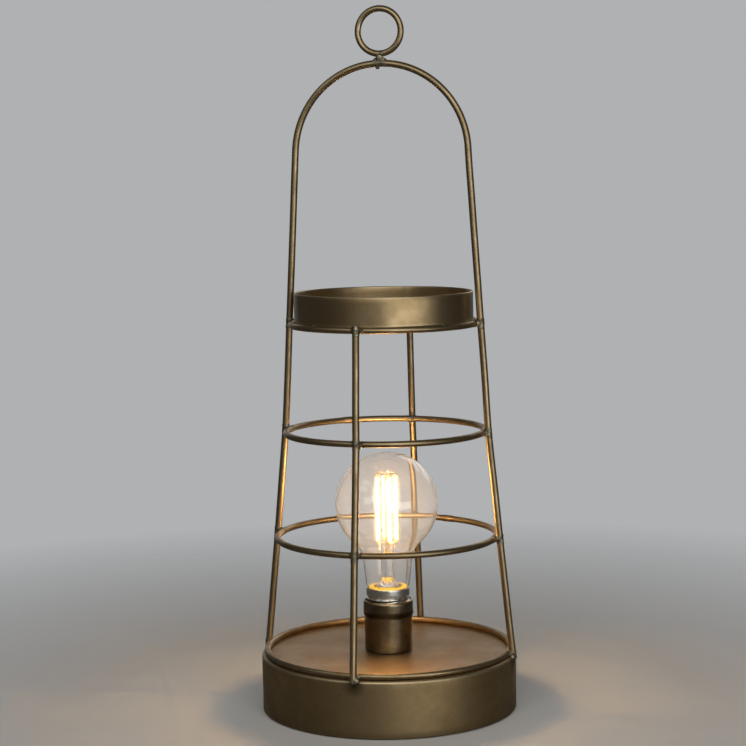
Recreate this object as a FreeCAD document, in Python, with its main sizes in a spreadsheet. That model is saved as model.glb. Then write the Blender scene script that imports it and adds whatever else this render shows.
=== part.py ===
import FreeCAD, Part
import math
import os

import Sketcher
from FreeCAD import Placement, Rotation, Vector

# Lantern table lamp: a wire cage on a sheet-metal drum, with a screw-in filament lamp inside.
# Millimetres. The origin is the middle of the footprint on the table, +Z is up, the front leg
# stands on -Y, and the arch with its two legs lies in the XZ plane.

DIMENSIONS = {
    # Wire frame: centre lines of the wires unless a line says otherwise.
    "leg_wire": 4.06,  # wire diameter of the arch and the legs
    "hoop_wire": 3.66,  # wire diameter of the hoops, the rim and the crown ring
    "leg_foot_inset": 0.1,  # leg inside the base's edge, at the height of the base's top
    "leg_bend_radius": 61.6,  # leg where it bends, level with the upper hoop
    "leg_bend_curve": 60.0,  # radius of that gentle bend
    "arch_radius": 51.9,
    "arch_centre_height": 325.3,
    "lower_hoop_height": 102.2,
    "upper_hoop_height": 164.0,
    "crown_ring_height": 227.3,
    "rim_weld_sink": 0.9,  # how deep the rim wire sinks into a leg when it is welded
    "hoop_weld_sink": 0.5,  # the same for the two hoops
    "crown_weld_sink": 0.1,  # the same for the crown ring
    "foot_lap": 1.7,  # how far a leg runs down over the base's shoulder
    "leg_top_rise": 1.3,  # how far the front and back legs rise past the crown ring
    "weld_bead": 2.45,  # radius of the bead at a crossing of wires
    "foot_bead": 2.7,  # radius of the bead at a leg's foot
    "foot_bead_offset": 1.3,  # how far that bead lies beside the leg
    "foot_bead_rise": 0.2,
    # Crown band
    "crown_band_top": 245.8,
    "crown_band_lap": 1.2,  # the band's lower edge below the crown ring's centre
    "crown_band_gauge": 1.1,
    "band_clearance": 0.05,
    "tack_bead": 1.6,
    # Hanging ring
    "ring_wire": 3.7,
    "ring_radius": 12.85,
    "ring_gap": 1.55,  # neck of weld between the arch and the ring
    "ring_bead": 2.7,
    "nub_bead": 1.35,  # drip of weld under the arch
    "nub_offset": 1.3,
    # Base drum
    "base_radius": 75.0,
    "base_height": 33.6,
    "base_gauge": 1.0,
    "base_shoulder": 1.8,
    "base_lift": 0.6,  # the drum's lower edge above the table
    # Cable inlet in the drum's back wall
    "inlet_height": 13.0,
    "inlet_bore": 3.2,
    "inlet_neck": 4.5,
    "inlet_flange": 6.5,
    "inlet_lip": 1.5,
    "inlet_slack": 0.35,  # room behind the wall, which curves away from the flat grommet
    "inlet_clearance": 0.1,
    # Bottom cover
    "cover_gauge": 1.0,
    "cover_clearance": 0.5,
    "cover_screw_inset": 7.0,  # screws inside the drum's wall
    "pad_thickness": 1.6,
    "pad_radius": 7.5,
    "pad_circle": 55.0,
    # Brackets that carry the cover
    "bracket_gauge": 1.2,
    "bracket_width": 11.0,
    "bracket_reach": 11.0,
    "bracket_rise": 12.0,
    "bracket_wall_gap": 0.25,
    # Cover screws
    "screw_radius": 1.5,
    "screw_head_radius": 2.8,
    "screw_head_height": 1.2,
    "screw_length": 6.0,
    "screw_clearance": 0.2,
    "thread_clearance": 0.04,
    "screw_slot": 0.8,
    "screw_slot_depth": 0.6,
    # Lampholder
    "holder_radius": 14.1,
    "holder_gauge": 0.5,
    "holder_floor": 0.8,
    "holder_corner": 0.9,
    "collar_radius": 14.6,
    "collar_height": 30.4,  # lampholder's lip above the base's top
    "collar_start": 21.6,  # where the barrel opens out into the collar
    "collar_slope": 0.5,
    "collar_gauge": 0.7,
    "lip_roll": 0.45,
    "groove_height": 20.2,  # rolled thread above the base's top at its start
    "groove_turns": 0.88,
    "groove_margin": 0.03,  # share of a turn by which the ridge inside outruns the groove
    "groove_radius": 1.95,
    "groove_depth": 0.7,  # below the middle of the step between barrel and collar
    # Threaded nipple, nuts and washers
    "nipple_radius": 4.95,
    "nipple_bore": 3.9,
    "nipple_rise": 3.8,
    "nipple_drop": 6.2,
    "nipple_chamfer": 0.5,
    "nipple_clearance": 0.2,
    "nut_flats": 14.0,
    "nut_height": 2.5,
    "washer_radius": 8.0,
    "washer_gauge": 0.8,
    "washer_tooth": 1.3,
    "tag_gauge": 0.6,
    "tag_length": 19.0,
    "tag_width": 6.3,
    # Contact carrier inside the lampholder
    "carrier_clearance": 0.2,
    "carrier_height": 9.2,
    "carrier_web": 3.0,
    "carrier_cavity": 10.4,
    "strip_gauge": 0.4,
    "strip_width": 4.0,
    "terminal_offset": 6.6,
    "terminal_width": 4.4,
    "terminal_depth": 5.0,
    "terminal_height": 2.8,
    "terminal_screw_radius": 1.25,
    "terminal_head_radius": 2.1,
    "terminal_head_height": 1.1,
    "contact_gap": 0.12,
    # Screw cap of the lamp
    "thread_pitch": 3.629,
    "cap_tip_height": 12.6,  # the centre contact above the base's top
    "cap_length": 25.2,
    "cap_root_radius": 12.1,
    "cap_thread_radius": 1.05,
    "cap_thread_rise": 0.1,
    "cap_thread_start": 6.2,
    "cap_thread_turns": 3.5,
    "cap_gauge": 0.3,
    "cap_rim_radius": 12.7,
    "cap_rim_height": 4.4,
    "cap_foot_radius": 11.0,
    "cap_foot_height": 4.3,
    "tip_radius": 4.8,
    "tip_height": 1.4,
    "tip_rivet_radius": 3.4,
    "tip_rivet_height": 1.6,
    "tip_clearance": 0.06,
    "tip_proud": 0.5,
    "insulator_gauge": 1.6,
    "insulator_edge": 0.7,
    "insulator_radius": 10.2,
    # Glass of the lamp
    "bulb_globe_radius": 30.4,
    "bulb_globe_height": 87.6,  # the globe's centre above the base's top
    "bulb_neck_flare": 5.3,  # degrees by which the neck opens upwards
    "bulb_neck_curve": 16.0,
    "bulb_throat_radius": 13.2,
    "bulb_throat_rise": 2.8,  # the throat above the cap's rim
    "bulb_tube_radius": 12.2,
    "bulb_tube_drop": 3.9,  # how far the glass runs down into the cap
    "glass_gauge": 0.7,
    "glass_seat": 0.06,
    "driver_disc_gauge": 0.8,
    "disc_rise": 0.4,  # the disc's top above the cap's rim
    "disc_clearance": 0.1,
    # Stem, supports and filaments, measured up from the cap's rim
    "stem_radius": 3.2,
    "stem_flare_radius": 8.5,
    "stem_pinch_rise": 22.0,
    "stem_taper": 3.0,
    "stem_post_radius": 1.4,
    "stem_button_radius": 2.3,
    "stem_button_height": 2.4,
    "lead_radius": 0.35,
    "lead_clearance": 0.05,
    "filament_radius": 0.85,
    "filament_circle": 5.6,
    "filament_base_rise": 27.8,
    "filament_length": 37.6,
    "filament_pin": 0.3,
    "filament_pin_length": 1.6,
}

FRONT = -90.0
BACK = 90.0
QUARTERS = (0.0, 90.0, 180.0, 270.0)
FOOT_BEAD_SIDES = {0.0: -1, 90.0: 1, 180.0: -1, 270.0: 1}
TACK_AZIMUTH = 56.0
FILAMENT_AZIMUTH = 31.0
LEAD_AZIMUTH = FILAMENT_AZIMUTH - 45.0
GROOVE_AZIMUTH = 110.0
WASHER_TEETH = 16
EDGE_ROLL = 0.45  # rounding of an edge, as a share of the metal there
HEAD_ROLL = 0.4  # and of a terminal screw's head
TACK_REACH = 0.3  # a tack's or a drip's centre outside what it sits on, as a share of its radius
NECK_ACROSS = 1.2  # the ring's neck of weld along the ring's axis, as a share of its bead
NECK_UP = 0.85  # and upwards
LIP_CURVE = 1.02  # the lip's curve against half its height, a shade flatter than a half round
NOTCH_SHARE = 1 / 3  # half a washer's notch, as a share of its tooth's length
BLOCK_TAP = 0.6  # depth of a terminal block's tapped hole, as a share of the block's height
BLOCK_WIRE = 0.3  # radius of the block's wire hole, as the same share
BLOCK_WIRE_RISE = 0.4  # and that hole's height
SCREW_REACH = 0.5  # how far a terminal screw reaches into its block
SPOKE_SHARE = 0.8  # a spoke of the top ring against the lead wire

document = FreeCAD.newDocument("LanternLamp")
sheet = document.addObject("Spreadsheet::Sheet", "dim")
for row, (alias, size) in enumerate(DIMENSIONS.items(), start=1):
    sheet.set(f"A{row}", alias)
    sheet.set(f"B{row}", str(size))
    sheet.setAlias(f"B{row}", alias)
document.recompute()

nodes = []


# Worked-out places, written as expressions of the sheet's cells.


LEG_FOOT_RADIUS = "(dim.base_radius - dim.leg_foot_inset)"


def leg_radius(height):
    """Centre line of a leg between the base and the upper hoop."""
    rise = f"({height} - dim.base_height) / (dim.upper_hoop_height - dim.base_height)"
    return f"({LEG_FOOT_RADIUS} - ({LEG_FOOT_RADIUS} - dim.leg_bend_radius) * {rise})"


ARCH_RISE = "(dim.arch_centre_height - dim.upper_hoop_height)"
ARCH_DISTANCE = f"sqrt(dim.leg_bend_radius ^ 2 + {ARCH_RISE} ^ 2)"
UPPER_SLOPE = (
    f"tan(atan(dim.leg_bend_radius / {ARCH_RISE}) - asin(dim.arch_radius / {ARCH_DISTANCE}))"
)


def upper_leg_radius(height):
    """Centre line of a leg between the upper hoop and the arch."""
    return f"(dim.leg_bend_radius - ({height} - dim.upper_hoop_height) * {UPPER_SLOPE})"


WIRES_APART = "(dim.leg_wire + dim.hoop_wire) / 2"
BASE_TOP = "dim.base_height"
RIM_HEIGHT = "(dim.base_height + dim.hoop_wire / 2)"
RIM_RADIUS = f"({leg_radius(RIM_HEIGHT)} - {WIRES_APART} + dim.rim_weld_sink)"
LOWER_HOOP_RADIUS = (
    f"({leg_radius('dim.lower_hoop_height')} - {WIRES_APART} + dim.hoop_weld_sink)"
)
UPPER_HOOP_RADIUS = f"(dim.leg_bend_radius - {WIRES_APART} + dim.hoop_weld_sink)"
CROWN_RADIUS = (
    f"({upper_leg_radius('dim.crown_ring_height')} - {WIRES_APART} + dim.crown_weld_sink)"
)
LEG_TOP = "(dim.crown_ring_height + dim.leg_top_rise)"
FOOT_END = "(dim.base_height - dim.foot_lap)"
ARCH_TOP = "(dim.arch_centre_height + dim.arch_radius + dim.leg_wire / 2)"
RING_HEIGHT = f"({ARCH_TOP} + dim.ring_gap + dim.ring_wire / 2 + dim.ring_radius)"
CROWN_BAND_RADIUS = f"({CROWN_RADIUS} - dim.hoop_wire / 2)"
WALL_INSIDE = "(dim.base_radius - dim.base_gauge)"
BASE_UNDER = "(dim.base_height - dim.base_gauge)"
COVER_TOP = "(dim.pad_thickness + dim.cover_gauge)"
SCREW_CIRCLE = f"({WALL_INSIDE} - dim.cover_screw_inset)"
NIPPLE_HOLE = "(dim.nipple_radius + dim.nipple_clearance)"
FLOOR_TOP = "(dim.base_height + dim.holder_floor)"
HOLDER_BORE = "(dim.holder_radius - dim.holder_gauge)"
LIP_HEIGHT = "(dim.base_height + dim.collar_height)"
WEB_TOP = f"({FLOOR_TOP} + dim.carrier_height)"
WEB_UNDER = f"({WEB_TOP} - dim.carrier_web)"
GROOVE_START = "(dim.base_height + dim.groove_height)"
CAP_TIP = "(dim.base_height + dim.cap_tip_height)"
CAP_RIM = f"({CAP_TIP} + dim.cap_length)"
CAP_BAND = f"({CAP_RIM} - dim.cap_rim_height)"
CAP_FOOT = f"({CAP_TIP} + dim.cap_foot_height)"
CAP_THREAD_START = f"({CAP_TIP} + dim.cap_thread_start)"
TUBE_END = f"({CAP_RIM} - dim.bulb_tube_drop)"
DISC_TOP = f"({CAP_RIM} + dim.disc_rise)"
FILAMENT_LOW = f"({CAP_RIM} + dim.filament_base_rise)"
FILAMENT_HIGH = f"({FILAMENT_LOW} + dim.filament_length)"
PIN_REACH = "(dim.filament_pin_length + dim.lead_radius + dim.lead_clearance)"
LEAD_BAR = f"({FILAMENT_LOW} - {PIN_REACH})"
TOP_RING = f"({FILAMENT_HIGH} + {PIN_REACH})"
LEAD_PLACE = "(dim.filament_circle * sqrt(0.5))"
GLOBE_HEIGHT = "(dim.base_height + dim.bulb_globe_height)"
# The cap's thread lies half a pitch out of step with the lampholder's ridge, so that they mesh.
THREAD_OFFSET = f"(({CAP_THREAD_START} - {GROOVE_START}) / dim.thread_pitch + 0.5)"
CAP_THREAD_TURN = f"{GROOVE_AZIMUTH} deg + {THREAD_OFFSET} * 360 deg"


def measure(expression):
    """Value of an expression of the sheet's cells."""
    result = sheet.evalExpression(str(expression))
    return float(getattr(result, "Value", result))


def bind(target, **sizes):
    """Bind properties to expressions; a double underscore stands for a dot."""
    for name, expression in sizes.items():
        target.setExpression(name.replace("__", "."), str(expression))
    return target


def new_body(name):
    """An empty body that carries its node's name."""
    body = document.addObject("PartDesign::Body", name)
    body.Label = name
    return body


def keep(name, shape_object):
    """Give a finished object its node's name and list it for export."""
    shape_object.Label = name
    nodes.append(shape_object)
    return shape_object


def new_sketch(body, name, role, height="0"):
    """A sketch on one of the body's own planes, lifted along the plane's normal."""
    plane = next(item for item in body.Origin.OriginFeatures if item.Role == role)
    sketch = body.newObject("Sketcher::SketchObject", name)
    sketch.AttachmentSupport = [(plane, "")]
    sketch.MapMode = "FlatFace"
    if height != "0":
        sketch.setExpression("AttachmentOffset.Base.z", height)
    return sketch


def dimension(sketch, constraint, expression):
    """Add a dimension to the sketch and bind it to an expression."""
    index = sketch.addConstraint(Sketcher.Constraint(*constraint, measure(expression)))
    sketch.setExpression(f"Constraints[{index}]", str(expression))


def pin_point(sketch, edge, end, across, up):
    """Fix one end of an edge at a place given by two expressions."""
    if across == "0":
        sketch.addConstraint(Sketcher.Constraint("PointOnObject", edge, end, -2))
    else:
        dimension(sketch, ("DistanceX", -1, 1, edge, end), across)
    if up == "0":
        sketch.addConstraint(Sketcher.Constraint("PointOnObject", edge, end, -1))
    else:
        dimension(sketch, ("DistanceY", -1, 1, edge, end), up)


def arc_between(start, end, radius, turn):
    """Arc of under a half circle from start to end; turn is 1 counterclockwise, -1 clockwise."""
    chord = end - start
    left = Vector(-chord.y, chord.x, 0).normalize()
    centre = (start + end) * 0.5 + left * (turn * math.sqrt(radius**2 - chord.Length**2 / 4))
    first, last = (start, end) if turn > 0 else (end, start)
    angles = [math.atan2(point.y - centre.y, point.x - centre.x) for point in (first, last)]
    if angles[1] < angles[0]:
        angles[1] += 2 * math.pi
    return Part.ArcOfCircle(Part.Circle(centre, Vector(0, 0, 1), radius), *angles)


def draw_outline(sketch, corners):
    """Closed outline. A corner is (across, up), or (across, up, radius, turn) where an arc follows."""
    points = [Vector(measure(corner[0]), measure(corner[1]), 0) for corner in corners]
    ends = []
    for index, corner in enumerate(corners):
        start, end = points[index], points[(index + 1) % len(points)]
        if len(corner) == 2:
            edge = sketch.addGeometry(Part.LineSegment(start, end))
            ends.append((edge, 1, 2))
        else:
            radius, turn = corner[2], corner[3]
            edge = sketch.addGeometry(arc_between(start, end, measure(radius), turn))
            ends.append((edge, 1, 2) if turn > 0 else (edge, 2, 1))
            dimension(sketch, ("Radius", edge), radius)
    for index, (edge, start_end, far_end) in enumerate(ends):
        following, following_start, following_end = ends[(index + 1) % len(ends)]
        joint = Sketcher.Constraint("Coincident", edge, far_end, following, following_start)
        sketch.addConstraint(joint)
        pin_point(sketch, edge, start_end, *corners[index][:2])


def draw_circle(sketch, across, up, radius):
    """Circle with its centre and radius bound to expressions."""
    centre = Vector(measure(across), measure(up), 0)
    edge = sketch.addGeometry(Part.Circle(centre, Vector(0, 0, 1), measure(radius)))
    dimension(sketch, ("Radius", edge), radius)
    pin_point(sketch, edge, 3, across, up)


def draw_segment(sketch, across, up, radius, edge, side):
    """Part of a circle that lies beyond an upright edge: side is 1 to the right, -1 to the left."""
    half = f"sqrt(({radius}) ^ 2 - ({edge} - {across}) ^ 2)"
    start = (edge, f"({up} - {half} * {side})", radius, 1)
    draw_outline(sketch, [start, (edge, f"({up} + {half} * {side})")])


def draw_box(sketch, left, right, low, high):
    """Rectangle between two pairs of expressions."""
    draw_outline(sketch, [(left, low), (right, low), (right, high), (left, high)])


def revolved(body, name, corners, axis_offset="0"):
    """Solid of revolution of an outline about the sketch's vertical axis."""
    sketch = new_sketch(body, f"{name}_outline", "XZ_Plane")
    if axis_offset != "0":
        sketch.setExpression("AttachmentOffset.Base.x", axis_offset)
    draw_outline(sketch, corners)
    turned = body.newObject("PartDesign::Revolution", name)
    turned.Profile = sketch
    turned.ReferenceAxis = (sketch, ["V_Axis"])
    turned.Angle = 360
    return turned


def padded(body, name, sketch, length):
    """Solid of the sketch, drawn out by a length along its normal."""
    pad = body.newObject("PartDesign::Pad", name)
    pad.Profile = sketch
    return bind(pad, Length=length)


def pocketed(body, name, sketch, length, reverse=False):
    """Cut of the sketch to a depth; it must take material away."""
    before = body.Tip.Shape.Volume
    pocket = body.newObject("PartDesign::Pocket", name)
    pocket.Profile = sketch
    pocket.Reversed = reverse
    bind(pocket, Length=length)
    document.recompute()
    if pocket.Shape.Volume >= before:
        raise RuntimeError(f"{body.Label}: {name} cuts nothing")
    return pocket


def polar(body, name, features, count):
    """Copies of features turned about the vertical axis."""
    pattern = body.newObject("PartDesign::PolarPattern", name)
    pattern.Originals = features
    axis = next(item for item in body.Origin.OriginFeatures if item.Role == "Z_Axis")
    pattern.Axis = (axis, [""])
    pattern.Angle = 360
    pattern.Occurrences = count
    body.Tip = pattern
    return pattern


def cut(name, base, tool):
    """Base without tool."""
    result = document.addObject("Part::Cut", name)
    result.Base = base
    result.Tool = tool
    return result


def cut_by(name, base, tools):
    """Base without each tool in turn."""
    result = base
    for number, tool in enumerate(tools, start=1):
        result = cut(name if number == len(tools) else f"{name}_cut_{number}", result, tool)
    return result


def group(name, members):
    """Separate solids held as one object."""
    result = document.addObject("Part::Compound", name)
    result.Links = members
    return result


def torus(name, radius, wire, height):
    """Closed wire ring that lies level."""
    ring = document.addObject("Part::Torus", name)
    return bind(ring, Radius1=radius, Radius2=f"{wire} / 2", Placement__Base__z=height)


def cylinder(name, radius, length, height="0"):
    """Upright cylinder from a height."""
    rod = document.addObject("Part::Cylinder", name)
    return bind(rod, Radius=radius, Height=length, Placement__Base__z=height)


def place_at(target, distance, azimuth, height, aside="0"):
    """Put an object at a distance from the axis, set aside square to its azimuth."""
    cosine = round(math.cos(math.radians(azimuth)), 6)
    sine = round(math.sin(math.radians(azimuth)), 6)
    return bind(
        target,
        Placement__Base__x=f"({distance}) * {cosine} - ({aside}) * {sine}",
        Placement__Base__y=f"({distance}) * {sine} + ({aside}) * {cosine}",
        Placement__Base__z=height,
    )


def bead_at(name, radius, distance, azimuth, height, aside="0"):
    """Ball of weld."""
    ball = bind(document.addObject("Part::Sphere", name), Radius=radius)
    return place_at(ball, distance, azimuth, height, aside)


# Base drum: one pressed pan, open below.


def build_base_pan():
    """Pressed pan with a rounded shoulder, a hole for the nipple and one for the inlet."""
    body = new_body("base_pan")
    shoulder = "dim.base_shoulder"
    inner_shoulder = "(dim.base_shoulder - dim.base_gauge)"
    flat_end = f"(dim.base_radius - {shoulder})"
    revolved(
        body,
        "pan_sheet",
        [
            (NIPPLE_HOLE, BASE_UNDER),
            (flat_end, BASE_UNDER, inner_shoulder, -1),
            (WALL_INSIDE, f"dim.base_height - {shoulder}"),
            (WALL_INSIDE, "dim.base_lift"),
            ("dim.base_radius", "dim.base_lift"),
            ("dim.base_radius", f"dim.base_height - {shoulder}", shoulder, 1),
            (flat_end, BASE_TOP),
            (NIPPLE_HOLE, BASE_TOP),
        ],
    )
    document.recompute()
    hole = new_sketch(body, "inlet_hole_outline", "XZ_Plane")
    draw_circle(hole, "0", "dim.inlet_height", "(dim.inlet_neck + dim.inlet_clearance)")
    pocketed(body, "inlet_hole", hole, "(dim.base_radius + dim.inlet_flange)")
    return keep("base_pan", body)


def build_inlet_grommet():
    """Rubber grommet: a flange outside, a neck in the wall's hole and a flange inside."""
    body = new_body("inlet_grommet")
    inner_face = "(-dim.base_gauge - dim.inlet_slack)"
    inner_end = f"({inner_face} - dim.inlet_lip)"
    revolved(
        body,
        "grommet",
        [
            ("dim.inlet_bore", inner_end),
            ("dim.inlet_flange", inner_end),
            ("dim.inlet_flange", inner_face),
            ("dim.inlet_neck", inner_face),
            ("dim.inlet_neck", "0"),
            ("dim.inlet_flange", "0"),
            ("dim.inlet_flange", "dim.inlet_lip / 2", "dim.inlet_lip / 2", 1),
            ("(dim.inlet_flange - dim.inlet_lip / 2)", "dim.inlet_lip"),
            ("dim.inlet_bore", "dim.inlet_lip"),
        ],
    )
    body.Placement = Placement(Vector(), Rotation(Vector(1, 0, 0), -90))
    bind(body, Placement__Base__y="dim.base_radius", Placement__Base__z="dim.inlet_height")
    return keep("inlet_grommet", body)


def build_bottom_cover():
    """Round steel cover with clearance holes for its screws."""
    body = new_body("bottom_cover")
    disc = new_sketch(body, "cover_outline", "XY_Plane", "dim.pad_thickness")
    draw_circle(disc, "0", "0", f"({WALL_INSIDE} - dim.cover_clearance)")
    padded(body, "cover_sheet", disc, "dim.cover_gauge")
    document.recompute()
    hole = new_sketch(body, "cover_hole_outline", "XY_Plane", COVER_TOP)
    draw_circle(hole, SCREW_CIRCLE, "0", "(dim.screw_radius + dim.screw_clearance)")
    pocket = pocketed(body, "cover_hole", hole, "dim.cover_gauge * 2")
    polar(body, "cover_holes", [pocket], 3)
    return keep("bottom_cover", body)


def build_cover_brackets():
    """Three angle brackets against the drum's wall, tapped for the cover's screws."""
    body = new_body("cover_brackets")
    wall = f"({WALL_INSIDE} - dim.bracket_wall_gap)"
    side = new_sketch(body, "bracket_outline", "XZ_Plane", "(-dim.bracket_width / 2)")
    draw_outline(
        side,
        [
            (f"({wall} - dim.bracket_reach)", COVER_TOP),
            (wall, COVER_TOP),
            (wall, f"({COVER_TOP} + dim.bracket_rise)"),
            (f"({wall} - dim.bracket_gauge)", f"({COVER_TOP} + dim.bracket_rise)"),
            (f"({wall} - dim.bracket_gauge)", f"({COVER_TOP} + dim.bracket_gauge)"),
            (f"({wall} - dim.bracket_reach)", f"({COVER_TOP} + dim.bracket_gauge)"),
        ],
    )
    pad = padded(body, "bracket_angle", side, "dim.bracket_width")
    document.recompute()
    hole = new_sketch(body, "bracket_hole_outline", "XY_Plane", f"({COVER_TOP} + dim.bracket_gauge)")
    draw_circle(hole, SCREW_CIRCLE, "0", "(dim.screw_radius + dim.thread_clearance)")
    pocket = pocketed(body, "bracket_hole", hole, "dim.bracket_gauge * 2")
    polar(body, "three_brackets", [pad, pocket], 3)
    return keep("cover_brackets", body)


def build_cover_screws():
    """Three slotted pan-head screws, driven up from below."""
    body = new_body("cover_screws")
    head_face = "(dim.pad_thickness - dim.screw_head_height)"
    turned = revolved(
        body,
        "screw_blank",
        [
            ("0", head_face),
            ("(dim.screw_head_radius - dim.screw_head_height / 2)", head_face,
             "dim.screw_head_height / 2", 1),
            ("dim.screw_head_radius", f"({head_face} + dim.screw_head_height / 2)"),
            ("dim.screw_head_radius", "dim.pad_thickness"),
            ("dim.screw_radius", "dim.pad_thickness"),
            ("dim.screw_radius", "(dim.pad_thickness + dim.screw_length)"),
            ("0", "(dim.pad_thickness + dim.screw_length)"),
        ],
        axis_offset=SCREW_CIRCLE,
    )
    document.recompute()
    slot = new_sketch(body, "screw_slot_outline", "XY_Plane", head_face)
    draw_box(
        slot,
        f"({SCREW_CIRCLE} - dim.screw_head_radius * 2)",
        f"({SCREW_CIRCLE} + dim.screw_head_radius * 2)",
        "(-dim.screw_slot / 2)",
        "dim.screw_slot / 2",
    )
    pocket = pocketed(body, "screw_slot_cut", slot, "dim.screw_slot_depth", reverse=True)
    polar(body, "three_screws", [turned, pocket], 3)
    return keep("cover_screws", body)


def build_foot_pads():
    """Four round pads under the cover, on which the lamp stands."""
    body = new_body("foot_pads")
    disc = new_sketch(body, "pad_outline", "XY_Plane")
    reach = "dim.pad_circle * sqrt(0.5)"
    draw_circle(disc, reach, reach, "dim.pad_radius")
    pad = padded(body, "pad", disc, "dim.pad_thickness")
    polar(body, "four_pads", [pad], 4)
    return keep("foot_pads", body)


# Wire frame.


def bend_points(foot, bend, far, radius):
    """Ends and centre of the arc that rounds a corner between two straight runs."""
    into = (foot - bend).normalize()
    out = (far - bend).normalize()
    half = math.acos(into.dot(out)) / 2
    reach = radius / math.tan(half)
    middle = (into + out).normalize() * (radius / math.sin(half))
    return bend + into * reach, bend + out * reach, bend + middle


def arc_through(centre, radius, start, end):
    """Arc counterclockwise from start to end about a centre."""
    angles = [math.atan2(point.y - centre.y, point.x - centre.x) for point in (start, end)]
    if angles[1] < angles[0]:
        angles[1] += 2 * math.pi
    return Part.ArcOfCircle(Part.Circle(centre, Vector(0, 0, 1), radius), *angles)


def bend_arc(centre, radius, low, high):
    """Arc of a leg's bend, with the numbers of its low end and its high end."""
    if centre.x > low.x:
        return arc_through(centre, radius, high, low), 2, 1
    return arc_through(centre, radius, low, high), 1, 2


def draw_leg_runs(sketch, far):
    """Lower run, gentle bend and upper run of one leg; the last run ends at the point far."""
    foot = Vector(measure(leg_radius(FOOT_END)), measure(FOOT_END), 0)
    bend = Vector(measure("dim.leg_bend_radius"), measure("dim.upper_hoop_height"), 0)
    radius = measure("dim.leg_bend_curve")
    low, high, centre = bend_points(foot, bend, far, radius)
    lower = sketch.addGeometry(Part.LineSegment(foot, low))
    arc, low_end, high_end = bend_arc(centre, radius, low, high)
    curve = sketch.addGeometry(arc)
    upper = sketch.addGeometry(Part.LineSegment(high, far))
    corner = sketch.addGeometry(Part.Point(bend), True)
    sketch.addConstraint(Sketcher.Constraint("Tangent", lower, 2, curve, low_end))
    sketch.addConstraint(Sketcher.Constraint("Tangent", curve, high_end, upper, 1))
    sketch.addConstraint(Sketcher.Constraint("PointOnObject", corner, 1, lower))
    sketch.addConstraint(Sketcher.Constraint("PointOnObject", corner, 1, upper))
    pin_point(sketch, corner, 1, "dim.leg_bend_radius", "dim.upper_hoop_height")
    pin_point(sketch, lower, 1, leg_radius(FOOT_END), FOOT_END)
    dimension(sketch, ("Radius", curve), "dim.leg_bend_curve")
    return lower, curve, upper


def sweep_wire(body, path, edges):
    """Round wire along a path."""
    section = body.newObject("Sketcher::SketchObject", f"{body.Name}_section")
    section.AttachmentSupport = [(path, "Edge1")]
    section.MapMode = "NormalToEdge"
    section.MapPathParameter = 0
    draw_circle(section, "0", "0", "dim.leg_wire / 2")
    document.recompute()
    pipe = body.newObject("PartDesign::AdditivePipe", f"{body.Name}_wire")
    pipe.Profile = section
    pipe.Spine = (path, [f"Edge{number}" for number in range(1, edges + 1)])
    pipe.Transition = "Transformed"


def build_arch_stock():
    """Both side legs and the arch, bent from one wire."""
    body = new_body("arch_leg_stock")
    path = new_sketch(body, "arch_path", "XZ_Plane")
    radius = measure("dim.arch_radius")
    crown = Vector(0, measure("dim.arch_centre_height"), 0)
    slope = math.atan(measure(UPPER_SLOPE))
    tangent = crown + Vector(radius * math.cos(slope), radius * math.sin(slope), 0)
    lower, curve, upper = draw_leg_runs(path, tangent)
    arch = path.addGeometry(arc_through(crown, radius, tangent, mirrored(tangent)))
    path.addConstraint(Sketcher.Constraint("Tangent", upper, 2, arch, 1))
    path.addConstraint(Sketcher.Constraint("Horizontal", arch, 1, arch, 2))
    dimension(path, ("Radius", arch), "dim.arch_radius")
    pin_point(path, arch, 3, "0", "dim.arch_centre_height")
    draw_mirrored_runs(path, lower, curve, upper, arch)
    sweep_wire(body, path, 7)
    return body


def mirrored(point):
    """The same point on the far side of the sketch's vertical axis."""
    return Vector(-point.x, point.y, 0)


def draw_mirrored_runs(path, lower, curve, upper, arch):
    """The second leg of the arch, which mirrors the first one."""
    foot, low = path.Geometry[lower].StartPoint, path.Geometry[lower].EndPoint
    high, top = path.Geometry[upper].StartPoint, path.Geometry[upper].EndPoint
    centre = path.Geometry[curve].Center
    radius = path.Geometry[curve].Radius
    far_upper = path.addGeometry(Part.LineSegment(mirrored(top), mirrored(high)))
    arc, high_end, low_end = bend_arc(centre, radius, low, high)
    start, end = mirrored(arc.EndPoint), mirrored(arc.StartPoint)
    far_curve = path.addGeometry(arc_through(mirrored(centre), radius, start, end))
    far_lower = path.addGeometry(Part.LineSegment(mirrored(low), mirrored(foot)))
    path.addConstraint(Sketcher.Constraint("Coincident", arch, 2, far_upper, 1))
    path.addConstraint(Sketcher.Constraint("Symmetric", upper, 1, far_upper, 2, -2))
    path.addConstraint(Sketcher.Constraint("Symmetric", lower, 2, far_lower, 1, -2))
    path.addConstraint(Sketcher.Constraint("Symmetric", lower, 1, far_lower, 2, -2))
    path.addConstraint(Sketcher.Constraint("Coincident", far_upper, 2, far_curve, high_end))
    path.addConstraint(Sketcher.Constraint("Coincident", far_lower, 1, far_curve, low_end))
    path.addConstraint(Sketcher.Constraint("Equal", curve, far_curve))


def build_leg_stock(name, azimuth):
    """Front or back leg, which ends at the crown ring."""
    body = new_body(f"{name}_stock")
    path = new_sketch(body, f"{name}_path", "XZ_Plane")
    far = Vector(measure(upper_leg_radius(LEG_TOP)), measure(LEG_TOP), 0)
    upper = draw_leg_runs(path, far)[2]
    dimension(path, ("DistanceY", -1, 1, upper, 2), LEG_TOP)
    dimension(path, ("DistanceX", -1, 1, upper, 2), upper_leg_radius(LEG_TOP))
    sweep_wire(body, path, 3)
    body.Placement = Placement(Vector(), Rotation(Vector(0, 0, 1), azimuth))
    return body


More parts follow.
